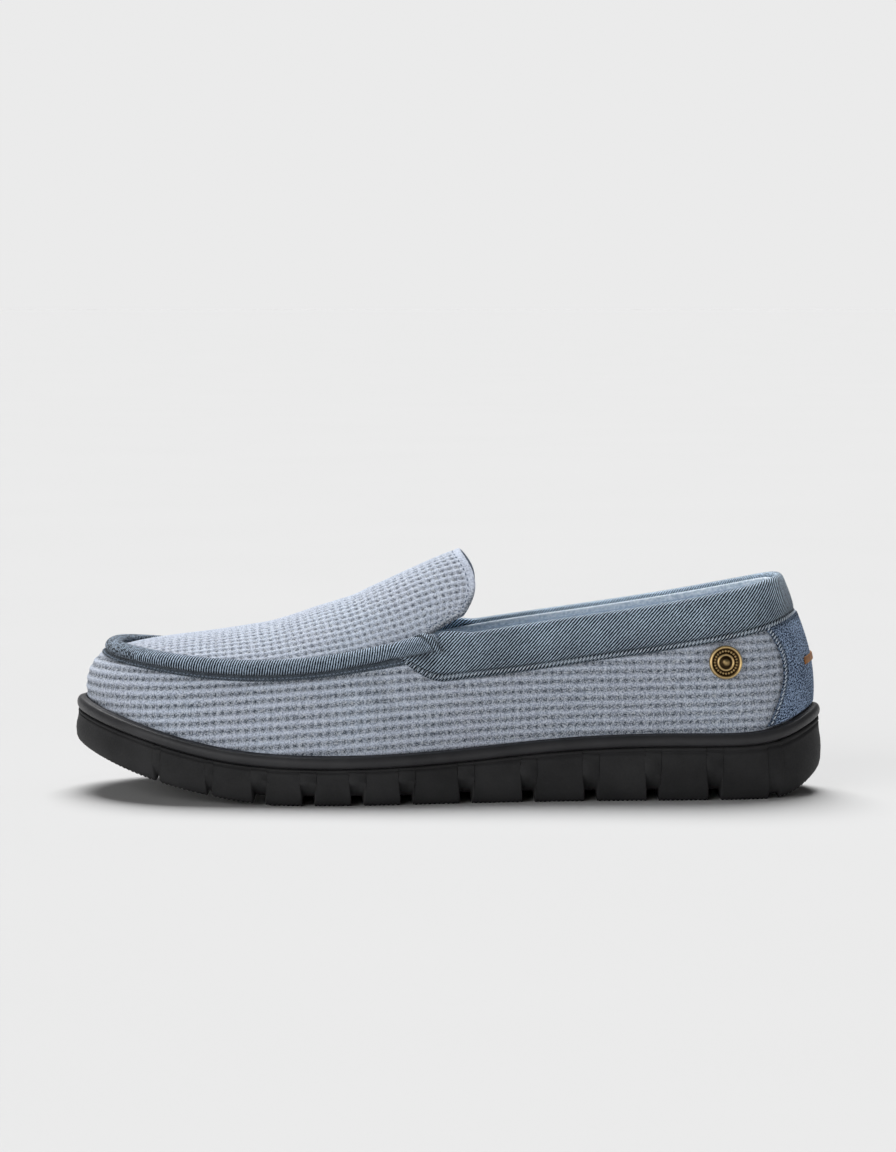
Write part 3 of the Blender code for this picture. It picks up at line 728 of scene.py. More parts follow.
# Soft creases pressed in: along, side, height, half length, half width, turn in degrees, depth
creases = (
    (172.0, 1, 44.0, 17.0, 3.6, 62.0, -0.55),
    (182.0, 1, 40.0, 15.0, 4.0, 66.0, 0.45),
    (196.0, 1, 38.0, 13.0, 3.4, 70.0, -0.40),
    (228.0, 1, 37.0, 12.0, 4.5, 78.0, -0.30),
    (60.0, 1, 40.0, 14.0, 5.0, 80.0, -0.35),
    (100.0, 1, 36.0, 18.0, 4.0, 20.0, 0.35),
    (170.0, -1, 42.0, 16.0, 3.8, 64.0, -0.50),
    (184.0, -1, 39.0, 14.0, 4.0, 68.0, 0.40),
    (205.0, -1, 37.0, 12.0, 4.0, 72.0, -0.35),
    (70.0, -1, 41.0, 15.0, 5.0, 80.0, -0.35),
)


def waffle(dots, rows, band):
    # 0 on the ridge between rows of cells, band in the groove between dots, 1 in the middle of a dot
    groove = 0.5 - 0.5 * np.cos(2.0 * pi * rows)
    return groove * (band + (1.0 - band) * (0.5 - 0.5 * np.cos(2.0 * pi * dots)))


def creaseRelief(points):
    relief = np.zeros(points.shape[:-1])
    for along, side, height, long, wide, turn, depth in creases:
        x, z = points[..., 0] - along, points[..., 2] - height
        run = x * cos(radians(turn)) + z * sin(radians(turn))
        off = z * cos(radians(turn)) - x * sin(radians(turn))
        relief += depth * np.exp(-(run / long) ** 2 - (off / wide) ** 2) * (points[..., 1] * side > 0.0)
    return relief


def knitWall():
    around = np.linspace(0.0, last["stations"], last["samples"])
    whole = lengthsOf(wallAt(around, knitting["dotLevel"]), 0)[-1]
    dots = int(round(whole / knitting["dotPitch"]))
    step = whole / (dots * knitting["dotSteps"])
    at = evenStations(0.0, last["stations"], step, knitting["dotLevel"])
    # the wall stops under the roll in front and under the collar behind
    first, full = (last["throat"] + shift for shift in knitting["tuckFrom"])
    top = 1.0 + (collarLowAt(at) + knitting["tuck"] - 1.0) * ease(fromToe(at), first, full)
    rows = int(round(knitting["tall"] / knitting["rowStep"]))
    levels = np.linspace(0.0, 1.0, rows + 1)[:, None] * top
    points = wallAt(at[None, :], levels)
    foot = points[:1].copy()
    foot[..., 2] -= knitting["under"]
    rise = lengthsOf(points, 0) + points[:1, :, 2]
    line = np.polyval(np.polyfit(*np.array(knitting["rowLine"]).T, 4), points[..., 0])
    pitch = np.interp(points[..., 0], *np.array(knitting["rowPitch"]).T)
    pit = waffle(np.linspace(0.0, dots, len(at))[None, :], (rise - line) / pitch, knitting["band"])
    relief = creaseRelief(points) - knitting["depth"] * pit
    # painted shade: the dots' tone in the recesses, and over the whole cloth along the shoe
    shade = pit + (1.0 - pit) * np.interp(points[..., 0], *np.array(knitting["paintedShadeAlong"]).T)
    points = np.concatenate([foot, points])
    shade, relief = (np.concatenate([grid[:1], grid]) for grid in (shade, relief))
    sheets = quilt(points, knitting["thick"], knitting["edge"], relief, True, shade)
    lift = normalsOf(points, True) * (knitting["thick"] / 2.0)
    for part in sheets:
        part["points"] = part["points"] - lift
    # the plain back needs close rows only at its edges
    close, between = knitting["backRows"]
    final = len(points) - 1
    kept = np.concatenate([np.arange(close), np.linspace(close, final - close, between).astype(int),
                           np.arange(final - close + 1, final + 1)])
    sheets[1] = {key: grid[kept] for key, grid in sheets[1].items()}
    return wear(makePiece("upper_wall", sheets, knit), "waffle_knit", "upper")


knitWall()
print("wall knitted")


# Apron and tongue

apron = {
    "arch": 2.6,
    "tipWidth": 16.0,
    "lean": 0.42,
    "leanStart": 4.0,
    "free": 18.9,  # station where the tongue's side leaves the seam
    "tip": 145.2,
    "bend": (145.2, 31.7, 76.0),  # the tongue's side is a curve past this place to its corner
    "corner": (128.4, 24.0, 77.0),
    "cornerCut": 0.44,  # share of the side that the rounded corner takes off
    "cornerPower": 6.6,
    "step": 0.62,
    "thick": 1.9,
    "edge": 1.0,
    "dotPitch": 3.0,
    "rowPitch": 3.1,
    "band": 0.28,
    # how strongly the recessed dots on the apron are darkened with painted shade
    "tone": 0.92,
    "sideShade": 0.95,  # painted shade where the free side edge turns under
    "sideWide": 3.9,
    "depth": 0.6,
    "underShade": 0.75,  # painted shade on the back of the knit, seen along its edges
    "freeFrom": 0.08,  # shares of the tongue where its edge is free, where it is stitched and fully turned
    "stitchFrom": 0.25,
    "turnFull": 0.2,
    "turnAside": (0.62, 0.86),  # and from its middle to its side
    "hem": 3.4,  # smooth turned edge outside the stitch line
    "hemSoft": (-0.8, 1.2),
    "hemDent": 0.25,
    "dentWide": 0.6,
    "stitchPitch": 2.7,
    "stitch": (1.5, 0.55, 0.35),
    # along, half width and depth of soft folds across the vamp
    "folds": ((188.0, 5.0, -0.45), (204.0, 6.0, 0.35), (222.0, 6.0, -0.30)),
}


def crownAt(along):
    return np.polyval(crownLine, along)


def apronAt(across, along):
    # across from the medial to the lateral seam; along counts stations, then the tongue as one more
    across, along = np.broadcast_arrays(np.asarray(across, float), np.asarray(along, float))
    station = np.minimum(along, apron["free"])
    share = np.clip(along - apron["free"], 0.0, 1.0)[..., None]
    left, right = wallAt(-station, 1.0), wallAt(station, 1.0)
    base = (left + right) / 2.0
    lean = apron["lean"] * ease(station, apron["leanStart"], last["throat"])
    spread = np.minimum(1.0, np.linalg.norm(left - right, axis=-1) / apron["tipWidth"])
    peak = base.copy()
    for _ in range(6):
        peak[..., 2] = base[..., 2] + spread * (crownAt(peak[..., 0]) - base[..., 2])
        peak[..., 0] = base[..., 0] + lean * (peak[..., 2] - base[..., 2])
    bend = np.array(apron["bend"]) * (2.0 * share * (1.0 - share)) + np.array(apron["corner"]) * share ** 2
    right = right * (1.0 - share) ** 2 + bend
    left = left * (1.0 - share) ** 2 + bend * (1.0, -1.0, 1.0)
    share = share[..., 0]
    forward = peak[..., 0] + (apron["tip"] - peak[..., 0]) * share
    rise = peak[..., 2] - crownAt(peak[..., 0])
    peak = np.stack([forward, peak[..., 1] * (1.0 - share), crownAt(forward) + rise * (1.0 - share)], -1)
    bulge = 1.0 - abs(2.0 * across - 1.0) ** apron["arch"]
    return left + (right - left) * across[..., None] + (peak - (left + right) / 2.0) * bulge[..., None]


def apronGrid(step, inset):
    # grid of the apron's outer face with close rows at the toe, where its edge turns fast
    free = apron["free"]
    dense = np.linspace(0.0, free + 1.0, last["samples"] // 2)
    centre = np.diff(lengthsOf(apronAt(0.5, dense), 0))
    side = np.diff(lengthsOf(apronAt(0.02, dense), 0))
    run = np.concatenate([[0.0], np.cumsum(np.maximum(centre, 0.55 * side))])
    along = np.interp(run[-1] * edgeSteps(run[-1], step, apron["edge"]), run, dense)
    wide = lengthsOf(apronAt(np.linspace(0.0, 1.0, 400), free - 3.0), 0)[-1]
    inset = inset * (1.0 - 0.7 * ease(along, free, free + 0.25))[:, None]
    across = inset + (1.0 - 2.0 * inset) * edgeSteps(wide, step, apron["edge"])
    cut = apron["cornerCut"] * abs(2.0 * across - 1.0) ** apron["cornerPower"]
    past = np.clip(along - free, 0.0, 1.0)[:, None] * (1.0 - inset)
    along = np.minimum(along, free)[:, None] + past * (1.0 - cut)
    return apronAt(across, along), along


def marksOn(line, length, marks):
    # points at some lengths along a line
    return np.stack([np.interp(marks, length, line[:, axis]) for axis in range(3)], -1)


def pick(grid, row, column):
    # value of a grid between its rows and columns
    first, second = int(row), int(column)
    low, side = row - first, column - second
    first2, second2 = min(first + 1, len(grid) - 1), min(second + 1, grid.shape[1] - 1)
    return ((grid[first, second] * (1.0 - side) + grid[first, second2] * side) * (1.0 - low)
            + (grid[first2, second] * (1.0 - side) + grid[first2, second2] * side) * low)


def apronAndTongue():
    points, along = apronGrid(apron["step"], 0.0)
    half = points.shape[1] // 2
    up, across = lengthsOf(points, 0), lengthsOf(points, 1)
    run = up[:, half:half + 1]
    toEnd = up[-1:] - up
    toSide = np.minimum(across, across[:, -1:] - across)
    nearest = np.minimum(toEnd, toSide)
    toEdge = np.where(along > apron["free"] + apron["freeFrom"], nearest, toEnd)
    flat = ease(toEdge, *(apron["hem"] + shift for shift in apron["hemSoft"]))
    rows = (across - across[:, half:half + 1]) / apron["rowPitch"]
    pit = waffle(run / apron["dotPitch"], rows, apron["band"]) * flat
    relief = -apron["depth"] * pit
    relief -= apron["hemDent"] * np.exp(-((toEdge - apron["hem"]) / apron["dentWide"]) ** 2)
    for x, wide, depth in apron["folds"]:
        relief += depth * np.exp(-((points[..., 0] - x) / wide) ** 2)
    aside = 1.0 - 2.0 * toSide / across[:, -1:]
    # painted shade along the tongue's free side, where its edge turns under
    turned = ease(along, apron["free"], apron["free"] + apron["turnFull"])
    turned = turned * ease(aside, *apron["turnAside"]) * np.exp(-(nearest / apron["sideWide"]) ** 2)
    shade = np.maximum(apron["tone"] * pit, apron["sideShade"] * turned)
    sheets = quilt(points, apron["thick"], apron["edge"], relief, False, shade)
    # painted shade over the back of the knit
    sheets[1]["shade"] = np.full(pit.shape, apron["underShade"])
    normal = normalsOf(points)
    for part in sheets:
        part["points"] = part["points"] - normal * (apron["thick"] / 2.0)
    piece = wear(makePiece("upper_apron", sheets, knit), "waffle_knit", "upper")

    # stitch line inside the tongue's free edge: up one side, along the rear and down the other
    surface = sheets[0]["points"]
    path = []
    rows = range(int(np.argmax(along[:, half] > apron["free"] + apron["stitchFrom"])), len(points))
    for column in (0, points.shape[1] - 1):
        leg = []
        for row in rows:
            reach = np.interp(apron["hem"], toSide[row, :half], np.arange(half))
            at = reach if column == 0 else points.shape[1] - 1 - reach
            if pick(toEnd, row, at) > apron["hem"]:
                leg.append((row, at))
        path.append(leg)
    rear = []
    for column in range(points.shape[1]):
        if toSide[-1, column] > apron["hem"]:
            row = np.interp(-apron["hem"], -toEnd[:, column], np.arange(len(points)))
            rear.append((row, column))
    places = path[0] + rear + path[1][::-1]
    line = np.array([pick(surface, row, column) for row, column in places])
    faces = np.array([pick(normal, row, column) for row, column in places])
    length = lengthsOf(line, 0)
    marks = np.arange(1.0, length[-1], apron["stitchPitch"])
    spots = marksOn(line, length, marks)
    ahead = unit(marksOn(line, length, marks + 0.5) - spots)
    face = unit(marksOn(faces, length, marks))
    wear(sewStitches("tongue_stitches", [(spots, ahead, face, apron["stitch"])], blueThread), "waffle_knit")
    return piece


apronAndTongue()
print("apron and tongue knitted")


# Lining under the tongue, round the walls, and the padded footbed

tongueBack = {"inset": 0.035, "drop": 2.6, "step": 2.0, "thick": 0.9, "edge": 0.6}


def tongueLining():
    points, _ = apronGrid(tongueBack["step"], tongueBack["inset"])
    points = points - normalsOf(points) * tongueBack["drop"]
    cloth = quilt(points, tongueBack["thick"], tongueBack["edge"])
    return wear(makePiece("tongue_lining", cloth, lining), "footbed_fabric")


wallBack = {
    "step": 1.6,
    "level": 0.6,
    "in": 2.25,
    "thick": 0.9,
    "edge": 0.6,
    "frontTop": 0.97,  # level of its edge under the roll
    "openFrom": (-1.0, 0.5),  # stations before and after the throat
    "closeFrom": 0.74,  # share of the height from which the rows lie closer
    "rows": (24, 44),
    "bandTall": 3.0,  # padded band under the collar's edge
    "bandOut": 0.7,
    "seamDown": 0.2,
    "seamWide": 0.55,
    "seamDeep": 0.5,
}


def wallLining():
    # backwards, so that its face looks inwards
    at = evenStations(last["stations"], 0.0, wallBack["step"], wallBack["level"])
    opened = ease(fromToe(at), *(last["throat"] + shift for shift in wallBack["openFrom"]))
    wide, close = wallBack["rows"]
    shares = np.concatenate([np.linspace(0.0, wallBack["closeFrom"], wide)[:-1],
                             np.linspace(wallBack["closeFrom"], 1.0, close)])
    top = wallBack["frontTop"] + (1.0 - wallBack["frontTop"]) * opened
    points = wallAt(at[None, :], shares[:, None] * top[None, :])
    points = points + normalsOf(points, True) * wallBack["in"]
    down = lengthsOf(points, 0)
    down = down[-1:] - down
    half = wallBack["bandTall"] / 2.0
    band = wallBack["bandOut"] * np.sqrt(np.clip(1.0 - ((down - half) / half) ** 2, 0.0, 1.0))
    seamAt = wallBack["bandTall"] + wallBack["seamDown"]
    seam = wallBack["seamDeep"] * np.exp(-((down - seamAt) / wallBack["seamWide"]) ** 2)
    cloth = quilt(points, wallBack["thick"], wallBack["edge"], (band - seam) * opened[None, :], True)
    return wear(makePiece("shoe_lining", cloth, lining), "footbed_fabric")


bed = {"inset": 8.3, "thick": 4.0, "cup": 1.3, "edge": 1.8, "wide": 70.0, "step": 2.2, "columns": 90}


def footbed():
    spread = 0.5 - 0.5 * np.cos(np.linspace(0.0, pi, bed["columns"]))
    along = bed["inset"] + (last["length"] - 2.0 * bed["inset"]) * spread
    sides = []
    for side in (-1, 1):
        at = stationAlong(along, side, bed["inset"])
        sides.append(withHeight(planAt(at, bed["inset"]), sectionAt(at)[:, 3]))
    share = edgeSteps(bed["wide"], bed["step"], bed["edge"])[:, None, None]
    points = sides[0][None] * (1.0 - share) + sides[1][None] * share
    cup = bed["cup"] * abs(2.0 * share[..., 0] - 1.0) ** 4
    points[..., 2] += 2.0 * last["gap"] + bed["thick"] / 2.0 + cup
    points = np.swapaxes(points, 0, 1)[::-1]
    cloth = quilt(points, bed["thick"], bed["edge"])
    piece = wear(makePiece("footbed", cloth, lining), "footbed_fabric", "insole")
    return piece


tongueLining()
wallLining()
footbed()
print("lining and footbed fitted")


# Denim roll on the apron seam, its sewn flange and the throat bars

roll = {
    "end": 19.82,
    "step": 0.9,
    "out": 3.2,  # down the wall and in on the apron, where its foot stands
    "in": 3.8,
    "halfWide": 3.5,
    "halfTall": 2.65,
    "centre": (0.35, 2.5),  # across towards the wall, and up
    "firstAngle": -42.0,
    "rows": 26,
    "tip": 2.4,  # rounding of its ends
    "lobeAt": 18.15,  # station of the soft pinch before its last lobe
    "pinch": 0.14,
    "pinchWide": 2.3,
    "lobeFull": 0.05,  # how much fuller the lobe is
    "lowShade": 0.9,  # painted shade: how much darker its foot, turned away from the light, is drawn
    "lowOut": (48.0, -30.0),  # angles between which it darkens towards the wall, and towards the apron
    "lowIn": (150.0, 200.0),
    "lobeShear": 0.45,  # turns the twill from near upright to 60 degrees on the lobe
    "leanOver": 6.0,
    "toePull": (1.7, 0.9),  # in and down where it rounds the toe
    "toeWide": 3.2,
}
skin = BVHTree.FromPolygons([vert.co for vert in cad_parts["upper"].data.vertices],
                            [tuple(face.vertices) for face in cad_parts["upper"].data.polygons])


def dropOnSkin(plan):
    # points of the solid upper straight below places in the plan
    found = []
    for x, y in plan - middle[:2]:
        hit = skin.ray_cast(Vector((x * mm, y * mm, 0.3)), Vector((0.0, 0.0, -1.0)))[0]
        found.append(hit.z / mm)
    return withHeight(plan, np.array(found))


def belowSeam(station, drop):
    # level of the wall a short way down from the seam
    return 1.0 - 0.1 * drop / np.linalg.norm(wallAt(station, 1.0) - wallAt(station, 0.9), axis=-1)


def rollFrame(station):
    # seam point, direction across towards the wall and direction up out of the seam
    top = wallAt(station, 1.0)
    aside = unit(planAt(station, 0.0) - top[..., :2])
    wallFoot = wallAt(station, belowSeam(station, roll["out"]))
    across = unit(wallFoot - dropOnSkin(top[..., :2] - aside * roll["in"]))
    ahead = withHeight(np.stack([-aside[..., 1], aside[..., 0]], -1), 0.0)
    up = unit(np.cross(ahead, across))
    return top, across, up * np.sign(up[..., 2:])


def rollRound(station, angles, grow, scale=1.0):
    # rows of points round the roll's section, a little outside it by grow
    top, across, up = rollFrame(station)
    toe = np.exp(-(station / roll["toeWide"]) ** 2)
    aside = roll["centre"][0] - roll["toePull"][0] * toe
    lift = roll["centre"][1] - roll["toePull"][1] * toe
    wide = roll["halfWide"] * scale + grow
    tall = roll["halfTall"] * scale + grow
    return [top + across * (aside + wide * np.cos(angle))[..., None]
            + up * (lift + tall * np.sin(angle))[..., None] for angle in angles]


def apronRoll():
    at = evenStations(-roll["end"], roll["end"], roll["step"], 1.0)
    run = lengthsOf(wallAt(at, 1.0), 0)
    toEnd = np.minimum(run, run[-1] - run)
    pinches = [np.interp(side * roll["lobeAt"], at, run) for side in (-1, 1)]
    fromPinch = np.minimum(*[abs(run - pinch) for pinch in pinches])
    lobe = ease(pinches[0] - run, -0.5, 0.5) + ease(run - pinches[1], -0.5, 0.5)
    tip = np.sqrt(1.0 - (1.0 - np.clip(toEnd / roll["tip"], 0.0, 1.0)) ** 2)
    pinched = roll["pinch"] * np.exp(-(fromPinch / roll["pinchWide"]) ** 2)
    scale = tip * (1.0 - pinched + roll["lobeFull"] * lobe)
    first = radians(roll["firstAngle"])
    angles = np.linspace(first, pi - first, roll["rows"])
    rows = rollRound(at, [angle + 0.0 * at for angle in angles], 0.0, scale)
    points = np.array(rows + rows[:1])
    up = lengthsOf(points, 0)
    # the lobe's twill leans more
    side = np.sign(run - run[-1] / 2.0)
    past = side * (run - np.where(side < 0.0, pinches[0], pinches[1]))
    lean = side * roll["lobeShear"] * ease(past, -roll["leanOver"], roll["leanOver"])
    weave = np.stack([run - lean * (up - up[roll["rows"] // 3]), up], -1)
    # painted shade on the roll's foot, towards the wall and towards the apron
    low = [np.clip((angles - radians(start)) / radians(full - start), 0.0, 1.0)
           for start, full in (roll["lowOut"], roll["lowIn"])]
    low = np.append(np.maximum(*low), 1.0)
    cloth = sheet(points, weave, roll["lowShade"] * low[:, None])
    piece = wear(makePiece("apron_roll_denim", [cloth], rollTwill), "roll_denim", "apron_roll")
    return piece


flange = {
    "end": 18.7,
    "step": 1.2,
    "top": 2.7,  # down the wall from the seam
    "low": 5.5,
    "rowStep": 0.4,
    "toeNarrow": 0.30,  # narrower where it rounds the toe
    "off": 0.4,
    "thick": 0.5,
    "edge": 0.35,
    # painted shade: the strip is drawn darker where it lies under the roll's overhang
    "shade": 0.85,
    "stitchPitch": 1.5,
    "stitchIn": 0.8,  # from the lower edge
    "stitchEnd": 0.2,
    "stitch": (0.9, 0.55, 0.3),
}


def toeNarrow(station):
    return 1.0 - flange["toeNarrow"] * np.exp(-(station / roll["toeWide"]) ** 2)


def rollFlange():
    at = evenStations(-flange["end"], flange["end"], flange["step"], 1.0)
    tall = flange["low"] - flange["top"]
    drops = flange["low"] - tall * edgeSteps(tall, flange["rowStep"], flange["edge"])
    levels = np.array([belowSeam(at, drop * toeNarrow(at)) for drop in drops])
    points = wallAt(at[None, :], levels)
    points = points + normalsOf(points) * flange["off"]
    cloth = quilt(points, flange["thick"], flange["edge"], shade=flange["shade"])
    wear(makePiece("roll_flange", cloth, rollTwill), "roll_denim")
    end = flange["end"] - flange["stitchEnd"]
    spots = evenStations(-end, end, flange["stitchPitch"], 1.0)
    level = belowSeam(spots, flange["low"] * toeNarrow(spots) - flange["stitchIn"])
    point, normal, _, ahead = wallFrame(spots, level)
    high = flange["off"] + flange["thick"] / 2.0
    rows = [(point + normal * high, ahead, normal, flange["stitch"])]
    wear(sewStitches("roll_stitches", rows, greyThread), "roll_denim")


bar = {
    "start": 19.05,  # station on the apron's side
    "finish": 20.0,  # station on the wall's side, so that the strap leans back
    "width": 3.2,
    # painted shade: a light touch in the strap's middle, full at its edges
    "shade": 0.05,
    "edgeShade": 1.0,
    "edgeDark": (0.3, 0.9),  # from its edges, where the painted shade along them ends
    "finer": 1.2,  # its twill is finer than the collar's
    "thick": 0.9,
    "edge": 0.6,
    "rows": 30,
    "lift": 0.6,
    "firstAngle": -52.0,
    "lastAngle": 205.0,
}


def throatBar(name, side, node):
    angles = np.radians(np.linspace(bar["firstAngle"], bar["lastAngle"], bar["rows"]))
    share = edgeSteps(bar["width"], bar["edge"], bar["edge"]) - 0.5
    run = np.linspace(0.0, 1.0, len(angles))[:, None]
    perStation = np.linalg.norm(wallAt(last["throat"] - 0.5, 1.0) - wallAt(last["throat"] - 1.5, 1.0))
    at = bar["finish"] + (bar["start"] - bar["finish"]) * run + share[None, :] * bar["width"] / perStation
    points = np.array([rollRound(side * row, [angle + 0.0 * row], bar["lift"])[0]
                       for row, angle in zip(at, angles)])
    if side < 0:
        points = points[:, ::-1]
    # painted shade along the strap's edges
    dark = 1.0 - ease((0.5 - abs(share)) * bar["width"], *bar["edgeDark"])
    shade = bar["shade"] + (bar["edgeShade"] - bar["shade"]) * dark
    cloth = quilt(points, bar["thick"], bar["edge"], shade=shade)
    for part in cloth:
        part["weave"] = part["weave"] * bar["finer"]
    return wear(makePiece(name, cloth, collarTwill), "roll_denim", node)


apronRoll()
rollFlange()
throatBar("throat_strap_lateral", 1, "throat_bar_lateral")
throatBar("throat_strap_medial", -1, "throat_bar_medial")
print("roll sewn on")


# Padded denim collar

collar = {
    "front": 18.4,
    "step": 1.1,
    "frontTop": 0.88,  # level of the flap's upper edge under the roll
    "riseStart": 19.55,
    "riseEnd": 19.95,
    "reachEnd": 20.9,
    "cornerPower": 1.9,
    "cornerEdge": 0.03,
    "frontLift": 3.0,
    "liftEnd": 21.2,
    "flapFull": 0.5,  # the padding is thin at the flap and again round the back of the heel
    "fullFrom": 0.6,  # stations after the rise
    "slimBack": 0.45,
    "slimWide": 4.0,
    "level": 0.75,  # where its length is measured
    "hemMost": 0.45,  # share of the flap that the hem may take
    "flapCap": 0.2,  # share of the cap's height on the flap
    "flapOff": (0.4, 0.3),  # offsets of the flap's cap and back
    "rows": 60,
    # painted shade on the recessed hem strip
    "hemShade": 0.9,
    "lowShade": 0.5,  # painted shade: the face is drawn darker towards its hem, away from the light
    "lowFade": 1.6,
    "flapShade": 0.95,  # painted shadow where the flap goes under the roll
    "flapDark": (0.15, 0.60),  # shares of the face between which it darkens
    "tuckStart": 19.15,
    "innerPaintedLight": -1.3,  # painted light on the inside of its edge
    # height over the lower edge in mm, and offset from the wall
    "hem": ((0.0, 0.3), (-0.2, 0.75), (0.2, 1.2), (0.9, 1.4), (1.6, 1.4), (2.15, 1.25), (2.4, 0.95)),
    # share of the band above the hem, and offset
    "face": ((0.03, 1.35), (0.12, 1.9), (0.30, 2.4), (0.52, 2.65), (0.74, 2.65), (0.92, 2.5)),
    # lift over the wall's edge, and offset
    "cap": ((0.5, 2.1), (1.1, 1.5), (1.5, 0.6), (1.5, -0.6), (1.25, -1.4), (0.6, -1.8), (-0.2, -1.6)),
    # share of the whole band on its hidden back, and offset
    "back": ((0.90, -0.5), (0.50, 0.1), (0.10, 0.3)),
    "stitchPitch": 1.5,
    "stitchTurn": 50.0,
    "stitch": (2.0, 0.48, 0.42),
    "stitchAt": (1.15, 1.42),  # height over the lower edge, and offset
    "stitchEnd": 0.25,
    "stitchLevel": 0.7,
}


def collarShape(station):
    # stations from the toe, levels of both edges, height, the hem's share of its full height, and padding
    turn = fromToe(station)
    rise = ease(turn, collar["riseStart"], collar["riseEnd"])
    top = collar["frontTop"] + (1.0 - collar["frontTop"]) * rise
    corner = np.clip((last["throat"] - turn) / (last["throat"] - collar["front"]), 0.0, 1.0)
    low = collarLowAt(station)
    low = low + (top - collar["cornerEdge"] - low) * corner ** collar["cornerPower"]
    tall = np.linalg.norm(wallAt(station, top) - wallAt(station, low), axis=-1)
    hem = np.minimum(1.0, collar["hemMost"] * tall / collar["hem"][-1][0])
    back = collar["slimBack"] * np.exp(-((last["stations"] / 2.0 - turn) / collar["slimWide"]) ** 2)
    fill = ease(turn, collar["front"], collar["riseEnd"] + collar["fullFrom"])
    full = collar["flapFull"] + (1.0 - collar["flapFull"]) * fill - back
    return turn, low, top, tall, hem, full


def collarShade(turn, rows, count):
    # painted shade at the hem and towards it, painted shadow on the flap under the roll, and painted light
    # on the inside of the edge
    first, most = collar["flapDark"]
    dark = [collar["hemShade"]] * len(collar["hem"])
    under = [0.0] * len(collar["hem"])
    for share, _ in collar["face"]:
        dark.append(collar["lowShade"] * max(0.0, 1.0 - collar["lowFade"] * share))
        under.append(min(1.0, max(0.0, (share - first) / (most - first))))
    dark += [collar["innerPaintedLight"] if off < 0.0 else 0.0 for _, off in collar["cap"]]
    dark.append(collar["innerPaintedLight"])
    dark += [0.0] * (rows - len(dark))
    under += [1.0] * (rows - len(under))
    place = np.linspace(0.0, rows, count)
    shade, under = (np.interp(place, np.arange(rows + 1), values + values[:1])[:, None]
                    for values in (dark, under))
    tucked = 1.0 - ease(turn, collar["tuckStart"], collar["riseEnd"])
    return shade + (collar["flapShade"] - shade) * under * tucked


def collarBand():
    front = collar["front"]
    at = evenStations(front, last["stations"] - front, collar["step"], collar["level"])
    turn, low, top, tall, hem, full = collarShape(at)
    perMm = (top - low) / tall
    reach = ease(turn, collar["riseStart"], collar["reachEnd"])
    settled = ease(turn, collar["riseEnd"], collar["liftEnd"])
    raised = collar["frontLift"] * (1.0 - settled) * ease(turn, collar["riseStart"], collar["riseEnd"])
    hemTop = low + collar["hem"][-1][0] * hem * perMm
    rows = []
    for height, off in collar["hem"]:
        point, normal, _, _ = wallFrame(at, low + height * hem * perMm)
        rows.append(point + normal * (off * full)[:, None])
    for share, off in collar["face"]:
        point, normal, _, _ = wallFrame(at, hemTop + (top - hemTop) * share)
        rows.append(point + normal * (off * full)[:, None])
    edge, normal, up, _ = wallFrame(at, top)
    capOff, backOff = collar["flapOff"]
    for lift, off in collar["cap"]:
        high = lift * (collar["flapCap"] + (1.0 - collar["flapCap"]) * reach) + raised
        aside = off * reach * (full if off > 0.0 else 1.0) + max(off, capOff) * full * (1.0 - reach)
        rows.append(edge + up * high[:, None] + normal * aside[:, None])
    for share, off in collar["back"]:
        point, normal, _, _ = wallFrame(at, low + (top - low) * share)
        rows.append(point + normal * (off * reach + backOff * (1.0 - reach))[:, None])
    points = closedRows(rows, collar["rows"])
    # the twill runs on straight behind the curved lower edge and round the leaning heel
    middleLine, _, _, ahead = wallFrame(at, collar["level"] + 0.0 * at)
    up = lengthsOf(points, 0) + points[0, :, 2]
    run = lengthsOf(middleLine, 0) + np.sum((points - middleLine) * ahead, -1)
    weave = np.stack([run, up], -1)
    shade = collarShade(turn, len(rows), len(points))
    ends = np.repeat(points.mean(0)[None], len(points), 0)
    points = np.concatenate([ends[:, :1], points, ends[:, -1:]], 1)
    weave, shade = (np.concatenate([grid[:, :1], grid, grid[:, -1:]], 1) for grid in (weave, shade))
    cloth = sheet(points, weave, shade)
    piece = wear(makePiece("collar_band", [cloth], collarTwill), "collar_denim", "collar")
    return piece


def hemStitches():
    front = collar["front"] + collar["stitchEnd"]
    at = evenStations(front, last["stations"] - front, collar["stitchPitch"], collar["stitchLevel"])
    _, low, top, tall, hem, full = collarShape(at)
    level = low + collar["stitchAt"][0] * hem * (top - low) / tall
    point, normal, up, ahead = wallFrame(at, level)
    lean = radians(collar["stitchTurn"])
    along = unit(ahead * cos(lean) + up * sin(lean))
    spots = point + normal * (collar["stitchAt"][1] * full)[:, None]
    rows = [(spots, along, normal, collar["stitch"])]
    wear(sewStitches("collar_stitches", rows, paleThread), "collar_denim")


collarBand()
hemStitches()
print("collar padded")


# Heel counter, tab and snap

counter = {
    "front": 32.4,
    "waist": 1.4,
    "margin": 0.015,
    "tuck": 0.02,  # level that goes up behind the collar's hem
    "wide": 105.0,
    "tall": 40.0,
    "step": 1.0,
    "thick": 1.1,
    "edge": 0.7,
    "stitchIn": 1.4,  # distance of the seam from the front edge
    "seamWide": 3.0,
    "seamSoft": 0.6,
    "seamShade": 0.8,
    "underHem": 2.6,  # painted shadow below the collar's edge
    "underSoft": 1.0,
    "stitches": 26,
    "stitchLean": 1.1,
    "stitchSpan": (0.03, 0.97),
    "stitchUp": 0.02,
    "stitch": (2.0, 0.5, 0.42),
}


def counterPlace(share, column):
    front = counter["front"] + counter["waist"] * np.sin(pi * share)
    station = front + (last["stations"] - 2.0 * front) * column
    low = counter["margin"]
    return station, low + (collarLowAt(station) + counter["tuck"] - low) * share


